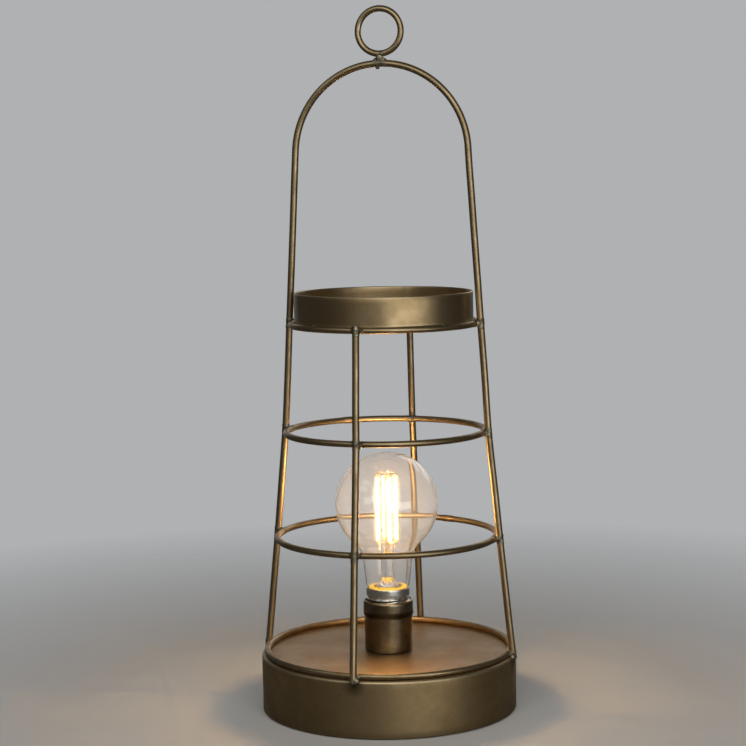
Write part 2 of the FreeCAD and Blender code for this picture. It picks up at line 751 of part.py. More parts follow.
def build_wire_frame():
    """Wires of the cage: the legs run through, and each ring is notched where a leg passes."""
    drum = new_body("drum_form")
    revolved(
        drum,
        "drum_block",
        [
            ("0", "dim.base_lift"),
            ("dim.base_radius", "dim.base_lift"),
            ("dim.base_radius", "dim.base_height - dim.base_shoulder", "dim.base_shoulder", 1),
            ("(dim.base_radius - dim.base_shoulder)", BASE_TOP),
            ("0", BASE_TOP),
        ],
    )
    arch = build_arch_stock()
    front = build_leg_stock("front_leg", FRONT)
    back = build_leg_stock("back_leg", BACK)
    legs = group("leg_stocks", [arch, front, back])
    keep("arch_leg_wire", cut("arch_leg_wire", arch, drum))
    keep("front_leg_wire", cut("front_leg_wire", front, drum))
    keep("back_leg_wire", cut("back_leg_wire", back, drum))
    rings = {
        "base_rim_wire": (RIM_RADIUS, RIM_HEIGHT),
        "lower_hoop": (LOWER_HOOP_RADIUS, "dim.lower_hoop_height"),
        "upper_hoop": (UPPER_HOOP_RADIUS, "dim.upper_hoop_height"),
        "crown_ring_wire": (CROWN_RADIUS, "dim.crown_ring_height"),
    }
    stocks = {}
    for name, (radius, height) in rings.items():
        stocks[name] = torus(f"{name}_stock", radius, "dim.hoop_wire", height)
        keep(name, cut(name, stocks[name], legs))
    hanger = torus("hanging_ring", "dim.ring_radius", "dim.ring_wire", RING_HEIGHT)
    hanger.Placement = Placement(hanger.Placement.Base, Rotation(Vector(1, 0, 0), 90))
    keep("hanging_ring", hanger)
    return drum, legs, stocks, hanger


def build_crown_band():
    """Sheet band that stands inside the crown ring, open above and below."""
    body = new_body("crown_band")
    outside = f"({CROWN_BAND_RADIUS} - dim.band_clearance)"
    inside = f"({outside} - dim.crown_band_gauge)"
    foot = "(dim.crown_ring_height - dim.crown_band_lap)"
    roll = f"dim.crown_band_gauge * {EDGE_ROLL}"
    revolved(
        body,
        "band",
        [
            (inside, foot),
            (outside, foot),
            (outside, f"(dim.crown_band_top - {roll})", roll, 1),
            (f"({outside} - {roll})", "dim.crown_band_top"),
            (f"({inside} + {roll})", "dim.crown_band_top", roll, 1),
            (inside, f"(dim.crown_band_top - {roll})"),
        ],
    )
    return keep("crown_band", body)


# Welds: beads that fill the corner at each crossing, and are hollowed by what they join.


def build_crossing_welds(name, leg_place, height, tools):
    """A bead at each of the four legs, centred where the leg meets a ring."""
    beads = [
        bead_at(
            f"{name}_{int(azimuth)}",
            "dim.weld_bead",
            f"{leg_place} - dim.leg_wire / 2",
            azimuth,
            height,
        )
        for azimuth in QUARTERS
    ]
    return keep(name, cut_by(name, group(f"{name}_beads", beads), tools))


def build_foot_welds(tools):
    """A bead beside each leg's foot, over the drum's shoulder."""
    beads = [
        bead_at(
            f"foot_bead_{int(azimuth)}",
            "dim.foot_bead",
            leg_radius(BASE_TOP),
            azimuth,
            "(dim.base_height + dim.foot_bead_rise)",
            aside=f"dim.foot_bead_offset * {FOOT_BEAD_SIDES[azimuth]}",
        )
        for azimuth in QUARTERS
    ]
    return keep("foot_welds", cut_by("foot_welds", group("foot_beads", beads), tools))


def build_band_tacks(ring, band):
    """Small tacks on top of the crown ring, which hold the band in it."""
    beads = [
        bead_at(
            f"band_tack_{int(azimuth)}",
            "dim.tack_bead",
            f"({CROWN_BAND_RADIUS} + dim.tack_bead * {TACK_REACH})",
            azimuth + TACK_AZIMUTH,
            "(dim.crown_ring_height + dim.hoop_wire / 2)",
        )
        for azimuth in QUARTERS
    ]
    tacks = group("band_tacks", beads)
    return keep("crown_band_tacks", cut_by("crown_band_tacks", tacks, [ring, band]))


def build_hanger_weld(legs, hanger):
    """The neck of weld between the arch and the ring, and a drip under the arch."""
    neck = document.addObject("Part::Ellipsoid", "hanger_neck")
    bind(
        neck,
        Radius1="dim.ring_bead",
        Radius2=f"dim.ring_bead * {NECK_ACROSS}",
        Radius3=f"dim.ring_bead * {NECK_UP}",
        Placement__Base__z=f"({ARCH_TOP} + dim.ring_gap / 2)",
    )
    drip_height = f"({ARCH_TOP} - dim.leg_wire - dim.nub_bead * {TACK_REACH})"
    drip = bead_at("arch_drip", "dim.nub_bead", "dim.nub_offset", 180.0, drip_height)
    beads = group("hanger_beads", [neck, drip])
    return keep("hanging_ring_weld", cut_by("hanging_ring_weld", beads, [legs, hanger]))


# Lampholder: a drawn shell, its contact carrier, and the nipple that clamps it to the drum.


def build_holder_shell():
    """Drawn shell with a rolled thread below its collar and a beaded lip."""
    body = new_body("holder_shell")
    collar_low = "(dim.base_height + dim.collar_start)"
    collar_high = f"({collar_low} + dim.collar_slope)"
    collar_bore = "(dim.collar_radius - dim.collar_gauge)"
    bead_low = f"({LIP_HEIGHT} - dim.lip_roll * 2)"
    revolved(
        body,
        "shell",
        [
            (NIPPLE_HOLE, BASE_TOP),
            ("(dim.holder_radius - dim.holder_corner)", BASE_TOP, "dim.holder_corner", 1),
            ("dim.holder_radius", "(dim.base_height + dim.holder_corner)"),
            ("dim.holder_radius", collar_low),
            ("dim.collar_radius", collar_high),
            ("dim.collar_radius", bead_low, f"dim.lip_roll * {LIP_CURVE}", 1),
            ("dim.collar_radius", LIP_HEIGHT),
            (collar_bore, LIP_HEIGHT),
            (collar_bore, collar_high),
            (HOLDER_BORE, collar_low),
            (HOLDER_BORE, FLOOR_TOP),
            (NIPPLE_HOLE, FLOOR_TOP),
        ],
    )
    document.recompute()
    step = "(dim.holder_radius + dim.collar_radius) / 2"
    groove_centre = f"({step} - dim.groove_depth + dim.groove_radius)"
    ridge_edge = "(dim.holder_radius + dim.collar_radius - dim.collar_gauge) / 2"
    ridge_radius = "(dim.groove_radius + dim.holder_gauge)"
    ridge = new_sketch(body, "ridge_section", "XZ_Plane")
    draw_segment(ridge, groove_centre, GROOVE_START, ridge_radius, ridge_edge, -1)
    helix(body, "rolled_ridge", "Additive", ridge, "(dim.groove_turns + dim.groove_margin * 2)")
    document.recompute()
    groove = new_sketch(body, "groove_section", "XZ_Plane")
    groove.AttachmentOffset = Placement(Vector(), Rotation(Vector(0, 1, 0), 1))
    groove.setExpression("AttachmentOffset.Rotation.Angle", "dim.groove_margin * 360 deg")
    groove_height = f"({GROOVE_START} + dim.thread_pitch * dim.groove_margin)"
    draw_circle(groove, groove_centre, groove_height, "dim.groove_radius")
    helix(body, "rolled_groove", "Subtractive", groove, "dim.groove_turns")
    body.Placement = Placement(Vector(), Rotation(Vector(0, 0, 1), GROOVE_AZIMUTH))
    return keep("holder_shell", body)


def helix(body, name, kind, sketch, turns):
    """Thread form that climbs by the lamp thread's pitch."""
    thread = body.newObject(f"PartDesign::{kind}Helix", name)
    thread.Profile = sketch
    thread.ReferenceAxis = (sketch, ["V_Axis"])
    thread.Mode = "pitch-turns-angle"
    return bind(thread, Pitch="dim.thread_pitch", Turns=turns)


def build_threaded_nipple():
    """Hollow threaded tube that clamps the lampholder to the drum and lets the cable through."""
    body = new_body("threaded_nipple")
    low = f"({BASE_TOP} - dim.nipple_drop)"
    high = f"({BASE_TOP} + dim.nipple_rise)"
    edge = "dim.nipple_chamfer"
    revolved(
        body,
        "nipple",
        [
            ("dim.nipple_bore", low),
            (f"(dim.nipple_radius - {edge})", low),
            ("dim.nipple_radius", f"({low} + {edge})"),
            ("dim.nipple_radius", f"({high} - {edge})"),
            (f"(dim.nipple_radius - {edge})", high),
            ("dim.nipple_bore", high),
        ],
    )
    return keep("threaded_nipple", body)


def build_nipple_nuts():
    """Hexagon nuts on the nipple: one on the lampholder's floor, one under the drum's top."""
    low = f"({BASE_UNDER} - dim.tag_gauge - dim.washer_gauge - dim.nut_height)"
    nuts = []
    for name, height in (("upper_nut", FLOOR_TOP), ("lower_nut", low)):
        nut = document.addObject("Part::Prism", name)
        nut.Polygon = 6
        bind(
            nut,
            Circumradius="dim.nut_flats / sqrt(3)",
            Height="dim.nut_height",
            Placement__Base__z=height,
        )
        nuts.append(nut)
    bore_radius = "(dim.nipple_radius + dim.thread_clearance)"
    bore = cylinder("nut_bore", bore_radius, "(dim.base_height + dim.collar_height)")
    return keep("nipple_nuts", cut("nipple_nuts", group("nut_pair", nuts), bore))


def build_lock_washer():
    """Toothed washer between the earth tag and the lower nut."""
    body = new_body("lock_washer")
    low = f"({BASE_UNDER} - dim.tag_gauge - dim.washer_gauge)"
    ring = new_sketch(body, "washer_outline", "XY_Plane", low)
    draw_circle(ring, "0", "0", "dim.washer_radius")
    draw_circle(ring, "0", "0", NIPPLE_HOLE)
    padded(body, "washer_ring", ring, "dim.washer_gauge")
    document.recompute()
    notch = new_sketch(body, "washer_notch_outline", "XY_Plane", low)
    draw_box(
        notch,
        "(dim.washer_radius - dim.washer_tooth)",
        "(dim.washer_radius + dim.washer_tooth)",
        f"(-dim.washer_tooth * {NOTCH_SHARE})",
        f"dim.washer_tooth * {NOTCH_SHARE}",
    )
    pocket = pocketed(body, "washer_notch", notch, "dim.washer_gauge", reverse=True)
    polar(body, "washer_teeth", [pocket], WASHER_TEETH)
    return keep("lock_washer", body)


def build_earth_tag():
    """Ring terminal under the drum's top, with a blade for the earth wire."""
    body = new_body("earth_tag")
    low = f"({BASE_UNDER} - dim.tag_gauge)"
    ring = new_sketch(body, "tag_ring_outline", "XY_Plane", low)
    draw_circle(ring, "0", "0", "dim.washer_radius")
    padded(body, "tag_ring", ring, "dim.tag_gauge")
    blade = new_sketch(body, "tag_blade_outline", "XY_Plane", low)
    draw_box(
        blade,
        "dim.washer_radius / 2",
        "dim.tag_length",
        "(-dim.tag_width / 2)",
        "dim.tag_width / 2",
    )
    padded(body, "tag_blade", blade, "dim.tag_gauge")
    document.recompute()
    holes = new_sketch(body, "tag_holes_outline", "XY_Plane", low)
    draw_circle(holes, "0", "0", NIPPLE_HOLE)
    draw_circle(holes, "(dim.tag_length - dim.tag_width / 2)", "0", "dim.tag_width / 4")
    pocketed(body, "tag_holes", holes, "dim.tag_gauge", reverse=True)
    body.Placement = Placement(Vector(), Rotation(Vector(0, 0, 1), BACK))
    return keep("earth_tag", body)


def build_contact_carrier():
    """Ceramic carrier inside the shell: a skirt round the nipple's nut and a web above it."""
    body = new_body("contact_carrier")
    outside = f"({HOLDER_BORE} - dim.carrier_clearance)"
    revolved(
        body,
        "carrier",
        [
            ("dim.carrier_cavity", FLOOR_TOP),
            (outside, FLOOR_TOP),
            (outside, WEB_TOP),
            ("0", WEB_TOP),
            ("0", WEB_UNDER),
            ("dim.carrier_cavity", WEB_UNDER),
        ],
    )
    document.recompute()
    hole = new_sketch(body, "carrier_hole_outline", "XY_Plane", WEB_TOP)
    hole_radius = "(dim.terminal_screw_radius + dim.screw_clearance)"
    draw_circle(hole, "dim.terminal_offset", "0", hole_radius)
    pocket = pocketed(body, "carrier_hole", hole, "dim.carrier_web * 1.5")
    polar(body, "carrier_holes", [pocket], 2)
    return keep("contact_carrier", body)


def strip_hole(body, place):
    """Hole for a terminal screw through a contact strip's foot."""
    document.recompute()
    hole = new_sketch(body, f"{body.Name}_hole_outline", "XY_Plane", f"({WEB_TOP} + dim.strip_gauge)")
    draw_circle(hole, place, "0", "(dim.terminal_screw_radius + dim.screw_clearance)")
    pocketed(body, f"{body.Name}_hole", hole, "dim.strip_gauge * 2")


def build_centre_contact():
    """Spring strip that rises from its screw to the middle, under the lamp's tip."""
    body = new_body("centre_contact")
    strip = "dim.strip_gauge"
    crest = f"({CAP_TIP} - dim.contact_gap)"
    outer_end = "(-dim.terminal_offset - dim.strip_width / 2)"
    knee = "(-dim.terminal_offset + dim.terminal_head_radius + dim.strip_gauge)"
    side = new_sketch(body, "centre_strip_outline", "XZ_Plane", "(-dim.strip_width / 2)")
    draw_outline(
        side,
        [
            (outer_end, WEB_TOP),
            (knee, WEB_TOP),
            ("(-dim.strip_width / 2)", f"({crest} - {strip})"),
            ("dim.strip_width / 2", f"({crest} - {strip})"),
            ("dim.strip_width / 2", crest),
            (f"(-dim.strip_width / 2 - {strip} / 2)", crest),
            (f"({knee} - {strip} / 2)", f"({WEB_TOP} + {strip})"),
            (outer_end, f"({WEB_TOP} + {strip})"),
        ],
    )
    padded(body, "centre_strip", side, "dim.strip_width")
    strip_hole(body, "(-dim.terminal_offset)")
    return keep("centre_contact", body)


def build_side_contact():
    """Spring strip that stands up beside the web and meets the lower edge of the lamp's cap."""
    body = new_body("side_contact")
    strip = "dim.strip_gauge"
    reach = "(dim.cap_foot_radius + dim.strip_gauge / 2)"
    inner_end = "(dim.terminal_offset - dim.strip_width / 2)"
    crest = f"({CAP_FOOT} - dim.contact_gap)"
    side = new_sketch(body, "side_strip_outline", "XZ_Plane", "(-dim.strip_width / 2)")
    draw_outline(
        side,
        [
            (inner_end, WEB_TOP),
            (reach, WEB_TOP),
            (reach, crest),
            (f"({reach} - {strip})", crest),
            (f"({reach} - {strip})", f"({WEB_TOP} + {strip})"),
            (inner_end, f"({WEB_TOP} + {strip})"),
        ],
    )
    padded(body, "side_strip", side, "dim.strip_width")
    strip_hole(body, "dim.terminal_offset")
    return keep("side_contact", body)


def build_terminal_blocks():
    """Two brass blocks under the web, tapped from above and bored for the wires."""
    body = new_body("terminal_blocks")
    low = f"({WEB_UNDER} - dim.terminal_height)"
    foot = new_sketch(body, "block_outline", "XY_Plane", low)
    draw_box(
        foot,
        "(dim.terminal_offset - dim.terminal_depth / 2)",
        "(dim.terminal_offset + dim.terminal_depth / 2)",
        "(-dim.terminal_width / 2)",
        "dim.terminal_width / 2",
    )
    pad = padded(body, "block", foot, "dim.terminal_height")
    document.recompute()
    tapped = new_sketch(body, "tapped_hole_outline", "XY_Plane", WEB_UNDER)
    tapped_radius = "(dim.terminal_screw_radius + dim.thread_clearance)"
    draw_circle(tapped, "dim.terminal_offset", "0", tapped_radius)
    tapped_hole = pocketed(body, "tapped_hole", tapped, f"dim.terminal_height * {BLOCK_TAP}")
    side = new_sketch(body, "wire_hole_outline", "XZ_Plane")
    wire_radius = f"dim.terminal_height * {BLOCK_WIRE}"
    wire_height = f"({low} + dim.terminal_height * {BLOCK_WIRE_RISE})"
    draw_circle(side, "dim.terminal_offset", wire_height, wire_radius)
    wire_hole = pocketed(body, "wire_hole", side, "dim.terminal_width")
    polar(body, "two_blocks", [pad, tapped_hole, wire_hole], 2)
    return keep("terminal_blocks", body)


def build_terminal_screws():
    """Two slotted screws that hold a strip, the web and a block together."""
    body = new_body("terminal_screws")
    face = f"({WEB_TOP} + dim.strip_gauge)"
    top = f"({face} + dim.terminal_head_height)"
    end = f"({WEB_UNDER} - dim.terminal_height * {SCREW_REACH})"
    roll = f"dim.terminal_head_height * {HEAD_ROLL}"
    turned = revolved(
        body,
        "terminal_screw",
        [
            ("0", end),
            ("dim.terminal_screw_radius", end),
            ("dim.terminal_screw_radius", face),
            ("dim.terminal_head_radius", face),
            ("dim.terminal_head_radius", f"({top} - {roll})", roll, 1),
            (f"(dim.terminal_head_radius - {roll})", top),
            ("0", top),
        ],
        axis_offset="dim.terminal_offset",
    )
    document.recompute()
    slot = new_sketch(body, "terminal_slot_outline", "XY_Plane", top)
    draw_box(
        slot,
        "(dim.terminal_offset - dim.screw_slot / 2)",
        "(dim.terminal_offset + dim.screw_slot / 2)",
        "(-dim.terminal_head_radius * 1.5)",
        "dim.terminal_head_radius * 1.5",
    )
    pocket = pocketed(body, "terminal_slot", slot, "dim.terminal_head_height / 2")
    polar(body, "two_terminal_screws", [turned, pocket], 2)
    return keep("terminal_screws", body)


# Screw cap of the lamp.


def build_cap_tip():
    """Centre contact of the cap: a flat button on a rivet."""
    body = new_body("cap_tip_contact")
    roll = f"dim.tip_height * {EDGE_ROLL}"
    shoulder = f"({CAP_TIP} + dim.tip_height)"
    rivet_top = f"({shoulder} + dim.tip_rivet_height)"
    revolved(
        body,
        "tip",
        [
            ("0", CAP_TIP),
            (f"(dim.tip_radius - {roll})", CAP_TIP, roll, 1),
            ("dim.tip_radius", f"({CAP_TIP} + {roll})"),
            ("dim.tip_radius", shoulder),
            ("dim.tip_rivet_radius", shoulder),
            ("dim.tip_rivet_radius", rivet_top),
            ("0", rivet_top),
        ],
    )
    return keep("cap_tip_contact", body)


def build_cap_insulator():
    """Glass cone between the cap's shell and its centre contact."""
    body = new_body("cap_insulator")
    recess = "(dim.tip_radius + dim.tip_clearance)"
    hole = "(dim.tip_rivet_radius + dim.tip_clearance)"
    shoulder = f"({CAP_TIP} + dim.tip_height + dim.tip_clearance)"
    revolved(
        body,
        "cone",
        [
            (recess, f"({CAP_TIP} + dim.tip_proud)"),
            (f"({recess} + dim.insulator_edge)", f"({CAP_TIP} + dim.tip_proud)"),
            ("dim.insulator_radius", f"({CAP_FOOT} - dim.insulator_edge)"),
            ("dim.insulator_radius", f"({CAP_FOOT} + dim.insulator_gauge)"),
            ("(dim.insulator_radius - dim.insulator_gauge)", f"({CAP_FOOT} + dim.insulator_gauge)"),
            (hole, f"({shoulder} + dim.insulator_gauge)"),
            (hole, shoulder),
            (recess, shoulder),
        ],
    )
    return keep("cap_insulator", body)


def build_cap_shell():
    """Thin metal cap with a rolled right-hand thread and a plain band below its rim."""
    body = new_body("cap_shell")
    shoulder = f"({CAP_FOOT} + dim.cap_root_radius - dim.cap_foot_radius)"
    step = "(dim.cap_rim_radius - dim.cap_root_radius)"
    foot_bore = "(dim.insulator_radius + dim.tip_clearance)"
    inside = "(dim.cap_root_radius - dim.cap_gauge)"
    revolved(
        body,
        "cap",
        [
            (foot_bore, CAP_FOOT),
            ("dim.cap_foot_radius", CAP_FOOT),
            ("dim.cap_root_radius", shoulder),
            ("dim.cap_root_radius", f"({CAP_BAND} - {step})"),
            ("dim.cap_rim_radius", CAP_BAND),
            ("dim.cap_rim_radius", f"({CAP_RIM} - dim.cap_gauge)"),
            ("(dim.cap_rim_radius - dim.cap_gauge)", CAP_RIM),
            ("(dim.bulb_tube_radius + dim.glass_seat)", CAP_RIM),
            ("(dim.bulb_tube_radius + dim.glass_seat)", f"({CAP_BAND} + dim.cap_gauge)"),
            (inside, f"({CAP_BAND} - {step})"),
            (inside, f"({shoulder} + dim.cap_gauge)"),
            (foot_bore, f"({CAP_FOOT} + dim.cap_gauge)"),
        ],
    )
    document.recompute()
    section = new_sketch(body, "thread_section", "XZ_Plane")
    thread_centre = "(dim.cap_root_radius + dim.cap_thread_rise)"
    edge = "(dim.cap_root_radius - dim.cap_gauge / 2)"
    draw_segment(section, thread_centre, CAP_THREAD_START, "dim.cap_thread_radius", edge, 1)
    helix(body, "rolled_thread", "Additive", section, "dim.cap_thread_turns")
    body.Placement = Placement(Vector(), Rotation(Vector(0, 0, 1), 1))
    body.setExpression("Placement.Rotation.Angle", CAP_THREAD_TURN)
    return keep("cap_shell", body)


# Glass of the lamp and what it holds. The neck runs straight into a curve that meets the globe.


NECK_LEAN = "sin(dim.bulb_neck_flare)"
NECK_RISE = "cos(dim.bulb_neck_flare)"
THROAT_HEIGHT = f"({CAP_RIM} + dim.bulb_throat_rise)"
CURVE_ACROSS = f"(dim.bulb_throat_radius + dim.bulb_neck_curve * {NECK_RISE})"
CURVE_UP = f"({THROAT_HEIGHT} - dim.bulb_neck_curve * {NECK_LEAN} - {GLOBE_HEIGHT})"
CURVE_REACH = "(dim.bulb_globe_radius + dim.bulb_neck_curve)"
CURVE_ALONG = f"({CURVE_ACROSS} * {NECK_LEAN} + {CURVE_UP} * {NECK_RISE})"
NECK_LENGTH = (
    f"(-{CURVE_ALONG} - sqrt({CURVE_ALONG} ^ 2 - {CURVE_ACROSS} ^ 2 - {CURVE_UP} ^ 2"
    f" + {CURVE_REACH} ^ 2))"
)
CURVE_CENTRE_ACROSS = f"({CURVE_ACROSS} + {NECK_LENGTH} * {NECK_LEAN})"
CURVE_CENTRE_UP = f"({CURVE_UP} + {NECK_LENGTH} * {NECK_RISE})"


def glass_points(inset):
    """Throat, end of the neck and start of the globe, set in by a wall."""
    throat = (
        f"(dim.bulb_throat_radius - {inset} * {NECK_RISE})",
        f"({THROAT_HEIGHT} + {inset} * {NECK_LEAN})",
    )
    curve = f"(dim.bulb_neck_curve + {inset})"
    neck = (
        f"({CURVE_CENTRE_ACROSS} - {curve} * {NECK_RISE})",
        f"({GLOBE_HEIGHT} + {CURVE_CENTRE_UP} + {curve} * {NECK_LEAN})",
    )
    share = f"((dim.bulb_globe_radius - {inset}) / {CURVE_REACH})"
    globe = (
        f"({CURVE_CENTRE_ACROSS} * {share})",
        f"({GLOBE_HEIGHT} + {CURVE_CENTRE_UP} * {share})",
    )
    return throat, neck, globe


def build_glass_envelope():
    """Clear globe that narrows to a neck, whose end sits in the cap."""
    body = new_body("glass_envelope")
    wall = "dim.glass_gauge"
    throat, neck, globe = glass_points("0")
    throat_in, neck_in, globe_in = glass_points(wall)
    revolved(
        body,
        "glass",
        [
            (f"(dim.bulb_tube_radius - {wall})", TUBE_END),
            ("dim.bulb_tube_radius", TUBE_END),
            ("dim.bulb_tube_radius", CAP_RIM),
            throat,
            (*neck, "dim.bulb_neck_curve", -1),
            (*globe, "dim.bulb_globe_radius", 1),
            ("0", f"({GLOBE_HEIGHT} + dim.bulb_globe_radius)"),
            ("0", f"({GLOBE_HEIGHT} + dim.bulb_globe_radius - {wall})",
             f"(dim.bulb_globe_radius - {wall})", -1),
            (*globe_in, f"(dim.bulb_neck_curve + {wall})", 1),
            neck_in,
            throat_in,
            (f"(dim.bulb_tube_radius - {wall})", CAP_RIM),
        ],
    )
    return keep("glass_envelope", body)


def build_driver_disc():
    """Round board across the glass tube, level with the cap's rim."""
    body = new_body("driver_disc")
    disc = new_sketch(body, "disc_outline", "XY_Plane", f"({DISC_TOP} - dim.driver_disc_gauge)")
    draw_circle(disc, "0", "0", "(dim.bulb_tube_radius - dim.glass_gauge - dim.disc_clearance)")
    padded(body, "disc", disc, "dim.driver_disc_gauge")
    return keep("driver_disc", body)


def build_glass_stem():
    """Flared glass foot, a pinched tube and a post that ends in a button."""
    body = new_body("stem_form")
    wall = "dim.glass_gauge"
    flare = "(dim.stem_flare_radius - dim.stem_radius)"
    flare_top = f"({DISC_TOP} + {wall} + {flare})"
    pinch = f"({CAP_RIM} + dim.stem_pinch_rise)"
    pinch_low = f"({pinch} - dim.stem_taper)"
    button_low = f"({TOP_RING} - dim.stem_button_height / 2)"
    button_top = f"({TOP_RING} + dim.stem_button_height / 2)"
    button_edge = "dim.stem_button_height / 4"
    revolved(
        body,
        "stem",
        [
            ("dim.stem_flare_radius", DISC_TOP),
            ("dim.stem_flare_radius", f"({DISC_TOP} + {wall})", flare, -1),
            ("dim.stem_radius", flare_top),
            ("dim.stem_radius", pinch_low),
            ("dim.stem_post_radius", pinch),
            ("dim.stem_post_radius", button_low),
            ("dim.stem_button_radius", f"({button_low} + {button_edge})"),
            ("dim.stem_button_radius", f"({button_top} - {button_edge})"),
            ("dim.stem_button_radius / 2", button_top),
            ("0", button_top),
            ("0", pinch_low),
            (f"(dim.stem_radius - {wall})", f"({pinch_low} - dim.stem_taper)"),
            (f"(dim.stem_radius - {wall})", flare_top, f"({flare} + {wall})", 1),
        ],
    )
    holes = []
    for name, azimuth in (("near_hole", LEAD_AZIMUTH), ("far_hole", LEAD_AZIMUTH + 180)):
        hole_radius = "(dim.lead_radius + dim.lead_clearance)"
        hole = cylinder(name, hole_radius, f"({LEAD_BAR} - dim.base_height)")
        holes.append(place_at(hole, LEAD_PLACE, azimuth, BASE_TOP))
    return keep("glass_stem", cut("glass_stem", body, group("stem_holes", holes)))


def build_stem_lead_wires():
    """Two lead wires, each with a bar across its top that feeds two filaments."""
    body = new_body("stem_lead_wires")
    section = new_sketch(body, "lead_section", "XY_Plane", DISC_TOP)
    draw_circle(section, LEAD_PLACE, "0", "dim.lead_radius")
    lead = padded(body, "lead", section, f"({LEAD_BAR} - {DISC_TOP})")
    bar_section = new_sketch(body, "bar_section", "XZ_Plane", f"(-{LEAD_PLACE})")
    draw_circle(bar_section, LEAD_PLACE, LEAD_BAR, "dim.lead_radius")
    bar = padded(body, "lead_bar", bar_section, f"{LEAD_PLACE} * 2")
    polar(body, "two_leads", [lead, bar], 2)
    body.Placement = Placement(Vector(), Rotation(Vector(0, 0, 1), LEAD_AZIMUTH))
    return keep("stem_lead_wires", body)


def build_filaments():
    """Four coated rods round the post, each with a metal pin at both ends."""
    body = new_body("filaments")
    pin_low = f"({FILAMENT_LOW} - dim.filament_pin_length)"
    pin_high = f"({FILAMENT_HIGH} + dim.filament_pin_length)"
    rod = revolved(
        body,
        "filament",
        [
            ("0", pin_low),
            ("dim.filament_pin", pin_low),
            ("dim.filament_pin", FILAMENT_LOW),
            ("dim.filament_radius", FILAMENT_LOW),
            ("dim.filament_radius", FILAMENT_HIGH),
            ("dim.filament_pin", FILAMENT_HIGH),
            ("dim.filament_pin", pin_high),
            ("0", pin_high),
        ],
        axis_offset="dim.filament_circle",
    )
    polar(body, "four_filaments", [rod], 4)
    body.Placement = Placement(Vector(), Rotation(Vector(0, 0, 1), FILAMENT_AZIMUTH))
    return keep("filaments", body)


def build_filament_top_ring():
    """Wire ring that joins the filaments' tops, held off the post by four spokes."""
    body = new_body("filament_top_ring")
    section = new_sketch(body, "top_ring_section", "XZ_Plane")
    draw_circle(section, "dim.filament_circle", TOP_RING, "dim.lead_radius")
    ring = body.newObject("PartDesign::Revolution", "top_ring")
    ring.Profile = section
    ring.ReferenceAxis = (section, ["V_Axis"])
    ring.Angle = 360
    document.recompute()
    start = "(dim.stem_button_radius + dim.lead_clearance)"
    spoke_section = new_sketch(body, "spoke_section", "YZ_Plane", start)
    draw_circle(spoke_section, "0", TOP_RING, f"dim.lead_radius * {SPOKE_SHARE}")
    spoke = padded(body, "spoke", spoke_section, f"(dim.filament_circle - {start})")
    polar(body, "four_spokes", [spoke], 4)
    body.Placement = Placement(Vector(), Rotation(Vector(0, 0, 1), LEAD_AZIMUTH))
    return keep("filament_top_ring", body)


def write_parts():
    """Check every object and write each piece to its own file."""
    document.recompute()
    faults = [item.Label for item in document.Objects if {"Invalid", "Error"} & set(item.State)]
    for node in nodes:
        if node.Shape.isNull() or not node.Shape.isValid() or not node.Shape.Solids:
            faults.append(node.Label)
    if faults:
        raise RuntimeError("failed objects: " + ", ".join(faults))
    os.makedirs("parts", exist_ok=True)
    for node in nodes:
        node.Shape.exportStep(f"parts/{node.Label}.step")
        size = node.Shape.BoundBox
        print(
            f"{node.Label}: {len(node.Shape.Solids)} solid(s), {node.Shape.Volume:.1f} mm3, "
            f"z {size.ZMin:.2f} to {size.ZMax:.2f}"
        )
    print(f"{len(nodes)} nodes")


build_base_pan()
build_inlet_grommet()
build_bottom_cover()
build_cover_brackets()
build_cover_screws()
build_foot_pads()
drum_form, leg_stocks, ring_stocks, hanging_ring = build_wire_frame()
crown_band = build_crown_band()
build_foot_welds([leg_stocks, drum_form, ring_stocks["base_rim_wire"]])
for weld_name, ring_name, place, level in (
    ("lower_hoop_welds", "lower_hoop", leg_radius("dim.lower_hoop_height"), "dim.lower_hoop_height"),
    ("upper_hoop_welds", "upper_hoop", "dim.leg_bend_radius", "dim.upper_hoop_height"),
    (
        "crown_ring_welds",
        "crown_ring_wire",
        upper_leg_radius("dim.crown_ring_height"),
        "dim.crown_ring_height",
    ),
):
    build_crossing_welds(weld_name, place, level, [leg_stocks, ring_stocks[ring_name], crown_band])
build_band_tacks(ring_stocks["crown_ring_wire"], crown_band)
build_hanger_weld(leg_stocks, hanging_ring)
build_holder_shell()
build_threaded_nipple()
build_nipple_nuts()
build_lock_washer()
build_earth_tag()
build_contact_carrier()
build_centre_contact()
build_side_contact()
build_terminal_blocks()
build_terminal_screws()
build_cap_tip()
build_cap_insulator()
build_cap_shell()
build_glass_envelope()
build_driver_disc()
build_glass_stem()
build_stem_lead_wires()
build_filaments()
build_filament_top_ring()
write_parts()
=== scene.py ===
"""Looks of the lantern table lamp: a welded wire cage on a pressed drum, with a lit filament lamp inside.

Each sub-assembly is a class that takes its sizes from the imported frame, shapes its pieces with modelling
operators and dresses them. Lengths are in metres, +Z is up, and the lamp's axis is the Z axis.
"""

import logging
import math
from collections.abc import Callable, Iterable, Sequence
from dataclasses import dataclass, field
from enum import Enum

import bmesh
import bpy
from mathutils import Matrix, Vector


